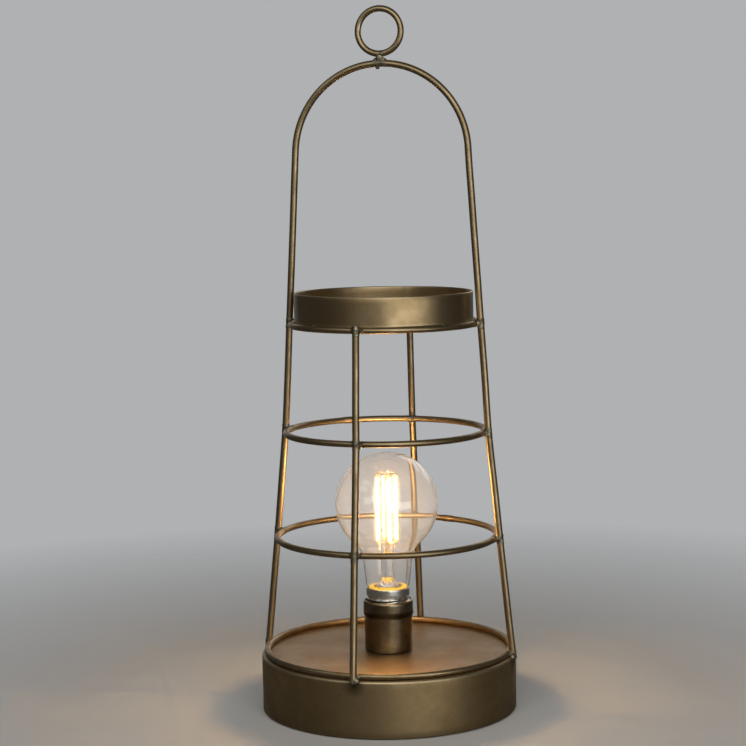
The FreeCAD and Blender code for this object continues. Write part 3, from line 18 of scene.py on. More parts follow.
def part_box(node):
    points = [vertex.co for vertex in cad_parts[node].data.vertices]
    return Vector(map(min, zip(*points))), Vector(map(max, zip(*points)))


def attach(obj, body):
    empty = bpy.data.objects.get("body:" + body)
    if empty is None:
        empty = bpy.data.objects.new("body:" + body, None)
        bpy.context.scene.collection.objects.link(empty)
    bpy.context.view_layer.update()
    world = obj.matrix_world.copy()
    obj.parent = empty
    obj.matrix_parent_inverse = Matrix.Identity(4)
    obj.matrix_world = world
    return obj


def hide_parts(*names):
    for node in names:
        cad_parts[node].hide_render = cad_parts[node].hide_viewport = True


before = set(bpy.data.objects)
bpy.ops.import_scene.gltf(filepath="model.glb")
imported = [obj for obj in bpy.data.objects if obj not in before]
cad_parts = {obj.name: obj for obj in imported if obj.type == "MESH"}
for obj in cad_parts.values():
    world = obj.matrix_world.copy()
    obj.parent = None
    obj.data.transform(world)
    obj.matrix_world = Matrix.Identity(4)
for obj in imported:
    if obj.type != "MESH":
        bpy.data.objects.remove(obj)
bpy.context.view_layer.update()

log = logging.getLogger("lantern_lamp")

MM = 0.001
FULL_TURN = math.tau
GLASS_IOR = 1.47
HALO_ROUGHNESS = 0.36  # how far light spreads round the lit filaments
GROMMET_NECK = 4.5 * MM
INLET_CUTTER_LENGTH = 12 * MM
HOOP_JOINT_REACH = 4.2 * MM
HOOP_JOINT_SWELL = 0.28 * MM
BAND_SEAM_REACH = 2.0 * MM
BAND_SEAM_SWELL = 0.12 * MM
Point = tuple[float, float]
Piece = bpy.types.Object
Socket = bpy.types.NodeSocket


class Body(Enum):
    """Moving bodies of the frame."""

    LAMP_FRAME = "lamp_frame"
    BULB_LIFT = "bulb_lift"
    BULB = "bulb"


class Slot(Enum):
    """Material slots of the record."""

    AGED_BRASS = "aged_brass"
    WELD_METAL = "weld_metal"
    HOLDER_BRONZE = "holder_bronze"
    COVER_BLACK = "cover_black"
    ZINC_STEEL = "zinc_steel"
    PAD_FOAM = "pad_foam"
    GROMMET_RUBBER = "grommet_rubber"
    CARRIER_CERAMIC = "carrier_ceramic"
    CONTACT_BRASS = "contact_brass"
    CAP_NICKEL = "cap_nickel"
    INSULATOR_BLACK = "insulator_black"
    BULB_GLASS = "bulb_glass"
    STEM_GLASS = "stem_glass"
    LEAD_WIRE = "lead_wire"
    FILAMENT_COAT = "filament_coat"
    DRIVER_YELLOW = "driver_yellow"


# Places read from the frame.


@dataclass(frozen=True)
class NodeBox:
    """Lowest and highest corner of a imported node."""

    low: Vector
    high: Vector

    @classmethod
    def of(cls, node: str) -> "NodeBox":
        """Box of the node with this name."""
        low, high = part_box(node)
        return cls(low, high)

    @property
    def reach(self) -> float:
        """Outer radius about the lamp's axis."""
        return self.high.x

    @property
    def height(self) -> float:
        """Length along Z."""
        return self.high.z - self.low.z

    @property
    def middle(self) -> float:
        """Height of the box's middle."""
        return (self.low.z + self.high.z) / 2


# Shaping with modelling operators.


def clear_selection() -> None:
    """Leave edit mode and deselect every object."""
    if bpy.context.object and bpy.context.object.mode != "OBJECT":
        bpy.ops.object.mode_set(mode="OBJECT")
    bpy.ops.object.select_all(action="DESELECT")


def take(piece: Piece) -> None:
    """Make a piece the only selected object and the active one."""
    clear_selection()
    piece.select_set(True)
    bpy.context.view_layer.objects.active = piece


def select_points(piece: Piece, wanted: Callable[[Vector], bool]) -> None:
    """Select a piece's points by their place, in edit mode.

    Args:
        piece: The piece, in edit mode.
        wanted: Says of a point whether it is selected.
    """
    mesh = bmesh.from_edit_mesh(piece.data)
    for vert in mesh.verts:
        vert.select_set(wanted(vert.co))
    mesh.select_flush_mode()
    bmesh.update_edit_mesh(piece.data)


def apply_modifier(piece: Piece, kind: str, **settings: object) -> None:
    """Add a modifier with these settings and apply it.

    Args:
        piece: The piece that takes the modifier.
        kind: Blender's type name for the modifier.
        settings: Values of the modifier's properties.
    """
    take(piece)
    modifier = piece.modifiers.new(kind.lower(), kind)
    for name, value in settings.items():
        setattr(modifier, name, value)
    bpy.ops.object.modifier_apply(modifier=modifier.name)


def join_pieces(name: str, parts: Sequence[Piece]) -> Piece:
    """Join several meshes into one piece whose object sits at the origin.

    Args:
        name: Name of the joined piece.
        parts: Meshes to join; the first one is kept.

    Returns:
        The joined piece.
    """
    clear_selection()
    for part in parts:
        part.select_set(True)
    bpy.context.view_layer.objects.active = parts[0]
    if len(parts) > 1:
        bpy.ops.object.join()
    bpy.ops.object.transform_apply(location=True, rotation=True, scale=True)
    joined = bpy.context.object
    joined.name = joined.data.name = name
    return joined


def tidy_mesh(piece: Piece, gap: float = 0.004 * MM) -> Piece:
    """Merge doubles and turn every face outwards.

    Args:
        piece: The piece to mend.
        gap: Points nearer than this become one.

    Returns:
        The same piece.
    """
    take(piece)
    bpy.ops.object.mode_set(mode="EDIT")
    bpy.ops.mesh.select_all(action="SELECT")
    bpy.ops.mesh.remove_doubles(threshold=gap)
    bpy.ops.mesh.normals_make_consistent(inside=False)
    bpy.ops.object.mode_set(mode="OBJECT")
    return piece


def arc(centre: Point, radius: float, start: float, end: float, steps: int) -> list[Point]:
    """Points along an arc in the plane of a profile.

    Args:
        centre: Distance from the axis and height of the centre.
        radius: Radius of the arc.
        start: First angle in degrees, from outwards and up.
        end: Last angle in degrees.
        steps: Number of stretches.

    Returns:
        The points, both ends included.
    """
    turns = [math.radians(start + (end - start) * step / steps) for step in range(steps + 1)]
    return [(centre[0] + radius * math.cos(t), centre[1] + radius * math.sin(t)) for t in turns]


def turn_profile(name: str, profile: Sequence[Point], sides: int) -> Piece:
    """Turn a profile about the lamp's axis: one ring is extruded, resized and lifted from point to point.

    Args:
        name: Name of the piece.
        profile: Radius and height of each ring. A radius of 0 at the end closes a pole. A last point
            equal to the first one closes the wall.
        sides: Number of points round each ring.

    Returns:
        The piece, tidied, with its faces outwards.
    """
    clear_selection()
    radius, height = profile[0]
    bpy.ops.mesh.primitive_circle_add(vertices=sides, radius=radius, enter_editmode=True)
    bpy.ops.transform.translate(value=(0, 0, height))
    for next_radius, next_height in profile[1:]:
        bpy.ops.mesh.extrude_region_move(
            TRANSFORM_OT_translate={"value": (0, 0, next_height - height)}
        )
        if next_radius == 0:
            bpy.ops.mesh.merge(type="CENTER")
            break
        share = next_radius / radius
        bpy.ops.transform.resize(value=(share, share, 1), center_override=(0, 0, 0))
        radius, height = next_radius, next_height
    bpy.ops.object.mode_set(mode="OBJECT")
    piece = bpy.context.object
    piece.name = piece.data.name = name
    return tidy_mesh(piece)


def close_foot(piece: Piece, height: float) -> Piece:
    """Close the opening round the axis at a height with a fan of faces.

    Args:
        piece: A turned piece with an open ring at that height.
        height: Height of the ring.

    Returns:
        The same piece.
    """
    take(piece)
    bpy.ops.object.mode_set(mode="EDIT")
    bpy.ops.mesh.select_mode(type="VERT")
    bpy.ops.mesh.select_all(action="DESELECT")
    bpy.ops.mesh.select_non_manifold()
    mesh = bmesh.from_edit_mesh(piece.data)
    for vert in mesh.verts:
        if vert.select and abs(vert.co.z - height) > 0.01 * MM:
            vert.select_set(False)
    mesh.select_flush_mode()
    bmesh.update_edit_mesh(piece.data)
    bpy.ops.mesh.extrude_region_move()
    bpy.ops.mesh.merge(type="CENTER")
    bpy.ops.object.mode_set(mode="OBJECT")
    return tidy_mesh(piece)


def noise_field(name: str, size: float, depth: int = 2) -> bpy.types.Texture:
    """A soft solid noise for displacing points, from 0 to 1.

    Args:
        name: Name of the texture.
        size: Size of its lumps.
        depth: How many finer layers it has.

    Returns:
        The texture.
    """
    texture = bpy.data.textures.new(name, "CLOUDS")
    texture.noise_scale = size
    texture.noise_depth = depth
    return texture


def displace(piece: Piece, size: float, strength: float, direction: str = "NORMAL") -> None:
    """Move a piece's points by a noise that is fixed in space.

    Args:
        piece: The piece to move.
        size: Size of the noise's lumps.
        strength: Travel between the noise's lowest and highest value.
        direction: NORMAL, or one of the axes X, Y and Z.
    """
    texture = noise_field(f"{piece.name}_noise", size)
    apply_modifier(
        piece,
        "DISPLACE",
        texture=texture,
        texture_coords="GLOBAL",
        direction=direction,
        strength=strength,
        mid_level=0.5,
    )


@dataclass(frozen=True)
class HandWork:
    """How far hand bending leaves the wires off their true lines."""

    stretch: float = 85 * MM
    travel: float = 0.6 * MM

    def wander(self, piece: Piece) -> None:
        """Let a piece of the cage follow the cage's slight bends, sideways only."""
        displace(piece, self.stretch, self.travel, "X")
        displace(piece, self.stretch, self.travel, "Y")


def smooth(piece: Piece, angle: float) -> None:
    """Shade a piece smooth, but not over edges sharper than an angle in degrees."""
    take(piece)
    bpy.ops.object.shade_smooth_by_angle(angle=math.radians(angle))


def settle(
    piece: Piece,
    body: Body,
    finish: bpy.types.Material,
    stands_for: Sequence[str] = (),
    angle: float = 40,
) -> Piece:
    """Dress a finished piece and hand it to the frame.

    Args:
        piece: The finished piece.
        body: Body that it rides on.
        finish: Its material.
        stands_for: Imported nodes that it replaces.
        angle: Edges sharper than this many degrees stay crisp.

    Returns:
        The same piece.
    """
    smooth(piece, angle)
    piece.data.materials.clear()
    piece.data.materials.append(finish)
    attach(piece, body.value)
    if stands_for:
        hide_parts(*stands_for)
    log.info("%s: %d faces on %s", piece.name, len(piece.data.polygons), body.value)
    return piece


def dress_node(node: str, slot: Slot, finish: bpy.types.Material) -> None:
    """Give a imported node's own mesh a finish."""
    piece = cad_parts[node]
    piece.data.materials.clear()
    piece.data.materials.append(finish)
    log.info("%s: dressed as %s", node, slot.value)


# Finishes. A recipe writes one material's nodes; a pattern is laid out in the object's own place.


class Recipe:
    """Node graph of one material."""

    def __init__(self, name: str) -> None:
        """Start with a Principled shader and the piece's own coordinates."""
        self.material = bpy.data.materials.new(name)
        self.material.use_nodes = True
        self.tree = self.material.node_tree
        self.shader = self.tree.nodes["Principled BSDF"]
        self.output = self.tree.nodes["Material Output"]
        self.place = self.add("ShaderNodeTexCoord").outputs["Object"]

    def add(self, kind: str, **settings: object) -> bpy.types.Node:
        """Add a node and set its properties."""
        node = self.tree.nodes.new(kind)
        for name, value in settings.items():
            setattr(node, name, value)
        return node

    def feed(self, socket: Socket, value: object) -> None:
        """Link a socket to another one, or set its value."""
        if isinstance(value, bpy.types.NodeSocket):
            self.tree.links.new(value, socket)
        else:
            socket.default_value = value

    def stretched(self, scale: tuple[float, float, float]) -> Socket:
        """The piece's coordinates, stretched along the axes."""
        mapping = self.add("ShaderNodeMapping")
        self.feed(mapping.inputs["Vector"], self.place)
        self.feed(mapping.inputs["Scale"], scale)
        return mapping.outputs["Vector"]

    def noise(
        self, size: float, detail: float = 3, rough: float = 0.55, place: Socket | None = None
    ) -> Socket:
        """Noise from 0 to 1.

        Args:
            size: Size of its lumps.
            detail: How many finer layers it has.
            rough: Strength of those layers.
            place: Coordinates, or the piece's own where none are given.

        Returns:
            The noise's value.
        """
        node = self.add("ShaderNodeTexNoise")
        self.feed(node.inputs["Vector"], place or self.place)
        self.feed(node.inputs["Scale"], 1 / size)
        self.feed(node.inputs["Detail"], detail)
        self.feed(node.inputs["Roughness"], rough)
        return node.outputs["Fac"]

    def levels(self, value: Socket, low: float, high: float, start: float, end: float) -> Socket:
        """Map a value from low and high to start and end, held at both ends."""
        node = self.add("ShaderNodeMapRange")
        for name, amount in zip(
            ("Value", "From Min", "From Max", "To Min", "To Max"), (value, low, high, start, end)
        ):
            self.feed(node.inputs[name], amount)
        return node.outputs["Result"]

    def sums(self, operation: str, *values: Socket | float) -> Socket:
        """One step of arithmetic."""
        node = self.add("ShaderNodeMath", operation=operation)
        for socket, value in zip(node.inputs, values):
            self.feed(socket, value)
        return node.outputs[0]

    def blend(self, share: Socket | float, first: object, second: object) -> Socket:
        """Mix two colours."""
        node = self.add("ShaderNodeMix", data_type="RGBA")
        self.feed(node.inputs["Factor"], share)
        self.feed(node.inputs["A"], rgba(first))
        self.feed(node.inputs["B"], rgba(second))
        return node.outputs["Result"]

    def height(self) -> Socket:
        """Height of a point in the row's frame."""
        node = self.add("ShaderNodeSeparateXYZ")
        self.feed(node.inputs[0], self.place)
        return node.outputs["Z"]

    def near(self, point: Vector, reach: float, mirrored: bool = False) -> Socket:
        """1 at a point, falling to 0 at a distance from it.

        Args:
            point: The point in the row's frame.
            reach: Distance at which the value is 0.
            mirrored: Whether the point stands for its mirror images in X and Y too.

        Returns:
            The value.
        """
        place = self.place
        if mirrored:
            folded = self.add("ShaderNodeVectorMath", operation="ABSOLUTE")
            self.feed(folded.inputs[0], place)
            place = folded.outputs["Vector"]
        distance = self.add("ShaderNodeVectorMath", operation="DISTANCE")
        self.feed(distance.inputs[0], place)
        self.feed(distance.inputs[1], tuple(point))
        return self.levels(distance.outputs["Value"], 0, reach, 1, 0)

    def bump(self, height: Socket, depth: float, under: Socket | None = None) -> Socket:
        """Relief of a height from 0 to 1 over a depth."""
        node = self.add("ShaderNodeBump")
        self.feed(node.inputs["Height"], height)
        self.feed(node.inputs["Distance"], depth)
        if under is not None:
            self.feed(node.inputs["Normal"], under)
        return node.outputs["Normal"]

    def surface(self, **values: object) -> None:
        """Set the Principled shader's inputs; an underscore stands for a space."""
        for name, value in values.items():
            socket = self.shader.inputs[name.replace("_", " ")]
            self.feed(socket, rgba(value) if socket.type == "RGBA" else value)

    def lets_light_through(
        self, tint: tuple[float, float, float], veil: tuple[float, float]
    ) -> None:
        """Let a lamp's light pass straight through a clear wall, and scatter a little of it.

        Args:
            tint: Colour of what passes.
            veil: Share of the light that is scattered all round, and share that spreads in a halo.
        """
        shader = self.shader.outputs["BSDF"]
        if veil[0]:
            soft = self.add("ShaderNodeBsdfTranslucent")
            self.feed(soft.inputs["Color"], rgba(tint))
            shader = self.mixed(veil[0], shader, soft.outputs["BSDF"])
            halo = self.add("ShaderNodeBsdfRefraction")
            self.feed(halo.inputs["Roughness"], HALO_ROUGHNESS)
            self.feed(halo.inputs["IOR"], GLASS_IOR)
            shader = self.mixed(veil[1], shader, halo.outputs["BSDF"])
        clear = self.add("ShaderNodeBsdfTransparent")
        self.feed(clear.inputs["Color"], rgba(tint))
        light_path = self.add("ShaderNodeLightPath")
        lit = self.mixed(light_path.outputs["Is Shadow Ray"], shader, clear.outputs["BSDF"])
        self.feed(self.output.inputs["Surface"], lit)

    def mixed(self, share: Socket | float, first: Socket, second: Socket) -> Socket:
        """Mix two shaders."""
        node = self.add("ShaderNodeMixShader")
        for socket, value in zip(node.inputs, (share, first, second)):
            self.feed(socket, value)
        return node.outputs["Shader"]


def rgba(colour: object) -> object:
    """A colour of three numbers as four; a socket stays as it is."""
    return (*colour, 1.0) if isinstance(colour, tuple) and len(colour) == 3 else colour


@dataclass(frozen=True)
class AgedBrass:
    """Metal under a brown antique lacquer that was brushed on by hand.

    Attributes:
        dark: Colour where the lacquer lies thick.
        light: Colour where it was rubbed thin.
        edge_rub_and_highlight: Colour of the bright edges: rubbed metal with a painted highlight.
        gloss: Roughness where thin and where thick.
        cloud: Size of the lacquer's clouds.
        edges: Heights along which an edge gets the rubbed colour and a painted highlight.
        top: Height above which a painted warm glow of the lit bulb tints the top face browner and darker,
            and the colour there.
        weld_dark_patches: Place of a darker patch below a foot weld, mirrored to all four legs.
        groove_painted_shade: Whether the piece has an attribute that says how deep a point lies in a groove;
            there the colour is darkened as painted shade.
    """

    name: str
    dark: tuple[float, float, float]
    light: tuple[float, float, float]
    edge_rub_and_highlight: tuple[float, float, float]
    gloss: tuple[float, float] = (0.36, 0.5)
    cloud: float = 26 * MM
    grain: tuple[float, float, float] = (1, 1, 1)
    edges: tuple[float, ...] = ()
    top: tuple[float, tuple[float, float, float]] | None = None
    weld_dark_patches: tuple[Vector, ...] = ()
    groove_painted_shade: bool = False

    def build(self) -> bpy.types.Material:
        """Write the material."""
        recipe = Recipe(self.name)
        clouds = recipe.noise(self.cloud, 4, 0.6, recipe.stretched(self.grain))
        specks = recipe.noise(0.9 * MM, 3, 0.7)
        shade = recipe.levels(clouds, 0.32, 0.68, 0, 1)
        speckled = recipe.sums("ADD", shade, recipe.levels(specks, 0.5, 0.78, 0, -0.45))
        colour = recipe.blend(recipe.sums("MAXIMUM", speckled, 0.0), self.dark, self.light)
        # Painted light: the top face is tinted browner-orange and darker, as the lit bulb's warm glow falls
        # on it.
        if self.top:
            above = recipe.levels(recipe.height(), self.top[0], self.top[0] + 0.3 * MM, 0, 0.85)
            lamp_glow_top = recipe.blend(speckled, tuple(c * 0.72 for c in self.top[1]), self.top[1])
            colour = recipe.blend(above, colour, lamp_glow_top)
        # Painted highlight, with rubbed metal: a bright line along each edge height.
        for edge in self.edges:
            off = recipe.sums("ABSOLUTE", recipe.sums("SUBTRACT", recipe.height(), edge))
            rub_and_glint = recipe.levels(off, 0.2 * MM, 1.3 * MM, 0.75, 0)
            patchy = recipe.sums("MULTIPLY", rub_and_glint, recipe.levels(specks, 0.3, 0.6, 0.4, 1))
            colour = recipe.blend(patchy, colour, self.edge_rub_and_highlight)
        # A darker patch below each foot weld.
        for patch_place in self.weld_dark_patches:
            darkened_near_weld = recipe.near(patch_place, 7.5 * MM, mirrored=True)
            patchy = recipe.sums("MULTIPLY", darkened_near_weld, recipe.levels(clouds, 0.3, 0.6, 0.7, 1.1))
            colour = recipe.blend(patchy, colour, tuple(c * 0.25 for c in self.dark))
        # Painted shade: the colour goes nearly black deep in the rolled groove.
        if self.groove_painted_shade:
            groove_shade = recipe.add("ShaderNodeAttribute", attribute_name="groove").outputs["Fac"]
            colour = recipe.blend(
                recipe.sums("MULTIPLY", groove_shade, 0.8), colour, tuple(c * 0.12 for c in self.dark)
            )
        relief = recipe.bump(recipe.noise(7 * MM, 2, 0.5), 0.06 * MM)
        relief = recipe.bump(recipe.noise(0.55 * MM, 3, 0.6), 0.012 * MM, relief)
        recipe.surface(
            Base_Color=colour,
            Metallic=1.0,
            Roughness=recipe.levels(clouds, 0.3, 0.7, self.gloss[1], self.gloss[0]),
            Normal=relief,
        )
        return recipe.material


@dataclass(frozen=True)
class PlainMetal:
    """Bare or plated metal with a fine grain and faint stains.

    Attributes:
        colour: The clean metal.
        stain: The metal where it is stained.
        gloss: Roughness where clean and where stained.
        lump: Size of its stains.
        relief: Depth of its unevenness.
    """

    name: str
    colour: tuple[float, float, float]
    stain: tuple[float, float, float]
    gloss: tuple[float, float] = (0.25, 0.45)
    lump: float = 4 * MM
    relief: float = 0.02 * MM

    def build(self) -> bpy.types.Material:
        """Write the material."""
        recipe = Recipe(self.name)
        stains = recipe.noise(self.lump, 4, 0.6)
        grain = recipe.noise(0.3 * MM, 2, 0.5)
        share = recipe.levels(stains, 0.4, 0.7, 0, 1)
        recipe.surface(
            Base_Color=recipe.blend(share, self.colour, self.stain),
            Metallic=1.0,
            Roughness=recipe.levels(stains, 0.35, 0.7, *self.gloss),
            Normal=recipe.bump(grain, self.relief),
        )
        return recipe.material


@dataclass(frozen=True)
class DullBody:
    """Lacquer, rubber, foam or ceramic: a body colour with mottling and a fine relief.

    Attributes:
        colour: Main colour.
        shade: Colour of its darker patches.
        gloss: Roughness where dark and where light.
        lump: Size of the patches.
        grain: Size of the relief.
        relief: Depth of the relief.
        sheen: Weight of a soft sheen.
    """

    name: str
    colour: tuple[float, float, float]
    shade: tuple[float, float, float]
    gloss: tuple[float, float] = (0.45, 0.7)
    lump: float = 6 * MM
    grain: float = 0.5 * MM
    relief: float = 0.04 * MM
    sheen: float = 0.0

    def build(self) -> bpy.types.Material:
        """Write the material."""
        recipe = Recipe(self.name)
        patches = recipe.noise(self.lump, 4, 0.6)
        recipe.surface(
            Base_Color=recipe.blend(recipe.levels(patches, 0.35, 0.65, 0, 1), self.shade, self.colour),
            Roughness=recipe.levels(patches, 0.35, 0.65, *self.gloss),
            Normal=recipe.bump(recipe.noise(self.grain, 3, 0.6), self.relief),
            Sheen_Weight=self.sheen,
        )
        return recipe.material


@dataclass(frozen=True)
class ClearGlass:
    """Clear glass whose surface is a little wavy and carries a faint haze.

    Attributes:
        tint: Colour of what passes.
        gloss: Roughness where clean and where hazy.
        wave: Depth of the waves.
        veil: Share of the light that is scattered all round, and share that spreads in a halo.
    """

    name: str
    tint: tuple[float, float, float] = (1.0, 1.0, 1.0)
    gloss: tuple[float, float] = (0.0, 0.03)
    wave: float = 0.05 * MM
    veil: tuple[float, float] = (0.0, 0.0)

    def build(self) -> bpy.types.Material:
        """Write the material."""
        recipe = Recipe(self.name)
        haze = recipe.noise(9 * MM, 3, 0.6)
        recipe.surface(
            Base_Color=self.tint,
            Roughness=recipe.levels(haze, 0.45, 0.75, *self.gloss),
            IOR=GLASS_IOR,
            Transmission_Weight=1.0,
            Normal=recipe.bump(recipe.noise(14 * MM, 2, 0.4), self.wave),
        )
        recipe.lets_light_through(self.tint, self.veil)
        return recipe.material


@dataclass(frozen=True)
class GlowingCoat:
    """Lit coat of a filament: hottest along its middle, yellower at its ends.

    Attributes:
        body: Colour of the coat.
        glow: Colour of its light.
        strength: Strength of its light.
    """

    name: str
    body: tuple[float, float, float]
    glow: tuple[float, float, float]
    edge_glow: tuple[float, float, float]
    strength: float
    low: float
    high: float

    def build(self) -> bpy.types.Material:
        """Write the material."""
        recipe = Recipe(self.name)
        height = recipe.height()
        lump = recipe.noise(1.2 * MM, 2, 0.5)
        middle = recipe.sums("ABSOLUTE", recipe.sums("SUBTRACT", height, (self.low + self.high) / 2))
        half = (self.high - self.low) / 2
        share = recipe.levels(middle, half * 0.86, half * 0.99, 0, 1)
        lit = recipe.levels(middle, half * 0.98, half * 1.01, self.strength, 0)
        recipe.surface(
            Base_Color=recipe.blend(lump, self.body, tuple(c * 0.8 for c in self.body)),
            Roughness=0.6,
            Emission_Color=recipe.blend(share, self.glow, self.edge_glow),
            Emission_Strength=lit,
        )
        return recipe.material


# Welds: a bead and a collar along each wire, melted into one lump.


@dataclass(frozen=True)
class Stub:
    """Short stretch of wire that a weld wraps."""

    place: Vector
    along: Vector
    radius: float
    length: float


@dataclass(frozen=True)
class Bead:
    """Drop of weld metal."""

    place: Vector
    radii: tuple[float, float, float]


@dataclass(frozen=True)
class Weld:
    """One weld, before it is copied round the lamp.

    Attributes:
        stubs: Stretches of wire that it wraps.
        beads: Drops of weld metal.
        voxel: Fineness of the melted surface.
        passes: How often it is smoothed.
    """

    stubs: tuple[Stub, ...]
    beads: tuple[Bead, ...]
    voxel: float = 0.28 * MM
    passes: int = 5

    def build(self, name: str) -> Piece:
        """Model the weld as one closed lump.

        Args:
            name: Name of the piece.

        Returns:
            The piece.
        """
        parts = []
        for stub in self.stubs:
            clear_selection()
            bpy.ops.mesh.primitive_cylinder_add(
                vertices=24,
                radius=stub.radius,
                depth=stub.length,
                location=stub.place,
                rotation=stub.along.to_track_quat("Z", "Y").to_euler(),
            )
            parts.append(bpy.context.object)
        for bead in self.beads:
            clear_selection()
            bpy.ops.mesh.primitive_ico_sphere_add(subdivisions=3, radius=1, location=bead.place)
            bpy.ops.transform.resize(value=bead.radii)
            parts.append(bpy.context.object)
        piece = join_pieces(name, parts)
        apply_modifier(piece, "REMESH", mode="VOXEL", voxel_size=self.voxel)
        apply_modifier(piece, "SMOOTH", factor=0.5, iterations=self.passes)
        return piece


def copied_round(piece: Piece, azimuths: Iterable[float]) -> Piece:
    """Copy a piece round the lamp's axis and join the copies.

    Args:
        piece: The piece as modelled, at azimuth 0.
        azimuths: Where the copies stand, in degrees.

    Returns:
        One piece that holds all the copies.
    """
    name = piece.name
    copies = []
    for azimuth in azimuths:
        take(piece)
        bpy.ops.object.duplicate()
        copy = bpy.context.object
        copy.rotation_euler.z = math.radians(azimuth)
        copies.append(copy)
    bpy.data.objects.remove(piece)
    return join_pieces(name, copies)


# The drum.


@dataclass
class Drum:
    """Pressed drum with a rounded shoulder; the wire ring welded round its top is bent with the cage.

    Attributes:
        finish: Aged brass.
        gauge: Thickness of the sheet.
        shoulder: Rounding of the shoulder.
        hem: Rounding of the lower edge.
    """

    finish: bpy.types.Material
    gauge: float = 1.0 * MM
    shoulder: float = 1.8 * MM
    hem: float = 0.3 * MM
    sides: int = 256
    inlet_slack: float = 0.1 * MM
    box: NodeBox = field(default_factory=lambda: NodeBox.of("base_pan"))
    nipple: NodeBox = field(default_factory=lambda: NodeBox.of("threaded_nipple"))
    grommet: NodeBox = field(default_factory=lambda: NodeBox.of("inlet_grommet"))

    def build(self) -> None:
        """Model and dress the drum."""
        pan = self.press_pan()
        self.cut_inlet(pan)
        settle(pan, Body.LAMP_FRAME, self.finish, ["base_pan"], angle=50)

    def profile(self) -> list[Point]:
        """Section of the sheet, from the hole in the top round the shoulder and back inside."""
        top, foot, reach = self.box.high.z, self.box.low.z, self.box.reach
        hole = self.nipple.reach + 0.2 * MM
        centre = (reach - self.shoulder, top - self.shoulder)
        inner = self.shoulder - self.gauge
        outside = [(hole, top), (hole * 3, top), (reach * 0.5, top), (reach * 0.8, top)]
        outside += arc(centre, self.shoulder, 90, 0, 8)
        outside += [(reach, top - (top - foot) * share) for share in (0.25, 0.5, 0.75)]
        outside += arc((reach - self.hem, foot + self.hem), self.hem, 0, -90, 3)
        wall = reach - self.gauge
        inside = arc((wall + self.hem, foot + self.hem), self.hem, -90, -180, 3)
        inside += [(wall, top - self.shoulder - 2 * MM)]
        inside += arc(centre, inner, 0, 90, 4)
        inside += [(hole, top - self.gauge), (hole, top)]
        return outside + inside

    def press_pan(self) -> Piece:
        """The pan, with the slight unevenness of pressed sheet."""
        pan = turn_profile("drum_pan", self.profile(), self.sides)
        apply_modifier(pan, "SUBSURF", subdivision_type="SIMPLE", levels=1, render_levels=1)
        displace(pan, 42 * MM, 0.35 * MM)
        return pan

    def cut_inlet(self, pan: Piece) -> None:
        """The hole in the back wall that holds the grommet."""
        clear_selection()
        neck = GROMMET_NECK + self.inlet_slack
        bpy.ops.mesh.primitive_cylinder_add(
            vertices=64,
            radius=neck,
            depth=INLET_CUTTER_LENGTH,
            location=(0, self.box.reach, self.grommet.middle),
            rotation=(math.pi / 2, 0, 0),
        )
        cutter = bpy.context.object
        apply_modifier(pan, "BOOLEAN", object=cutter, operation="DIFFERENCE", solver="EXACT")
        bpy.data.objects.remove(cutter)


# The cage.


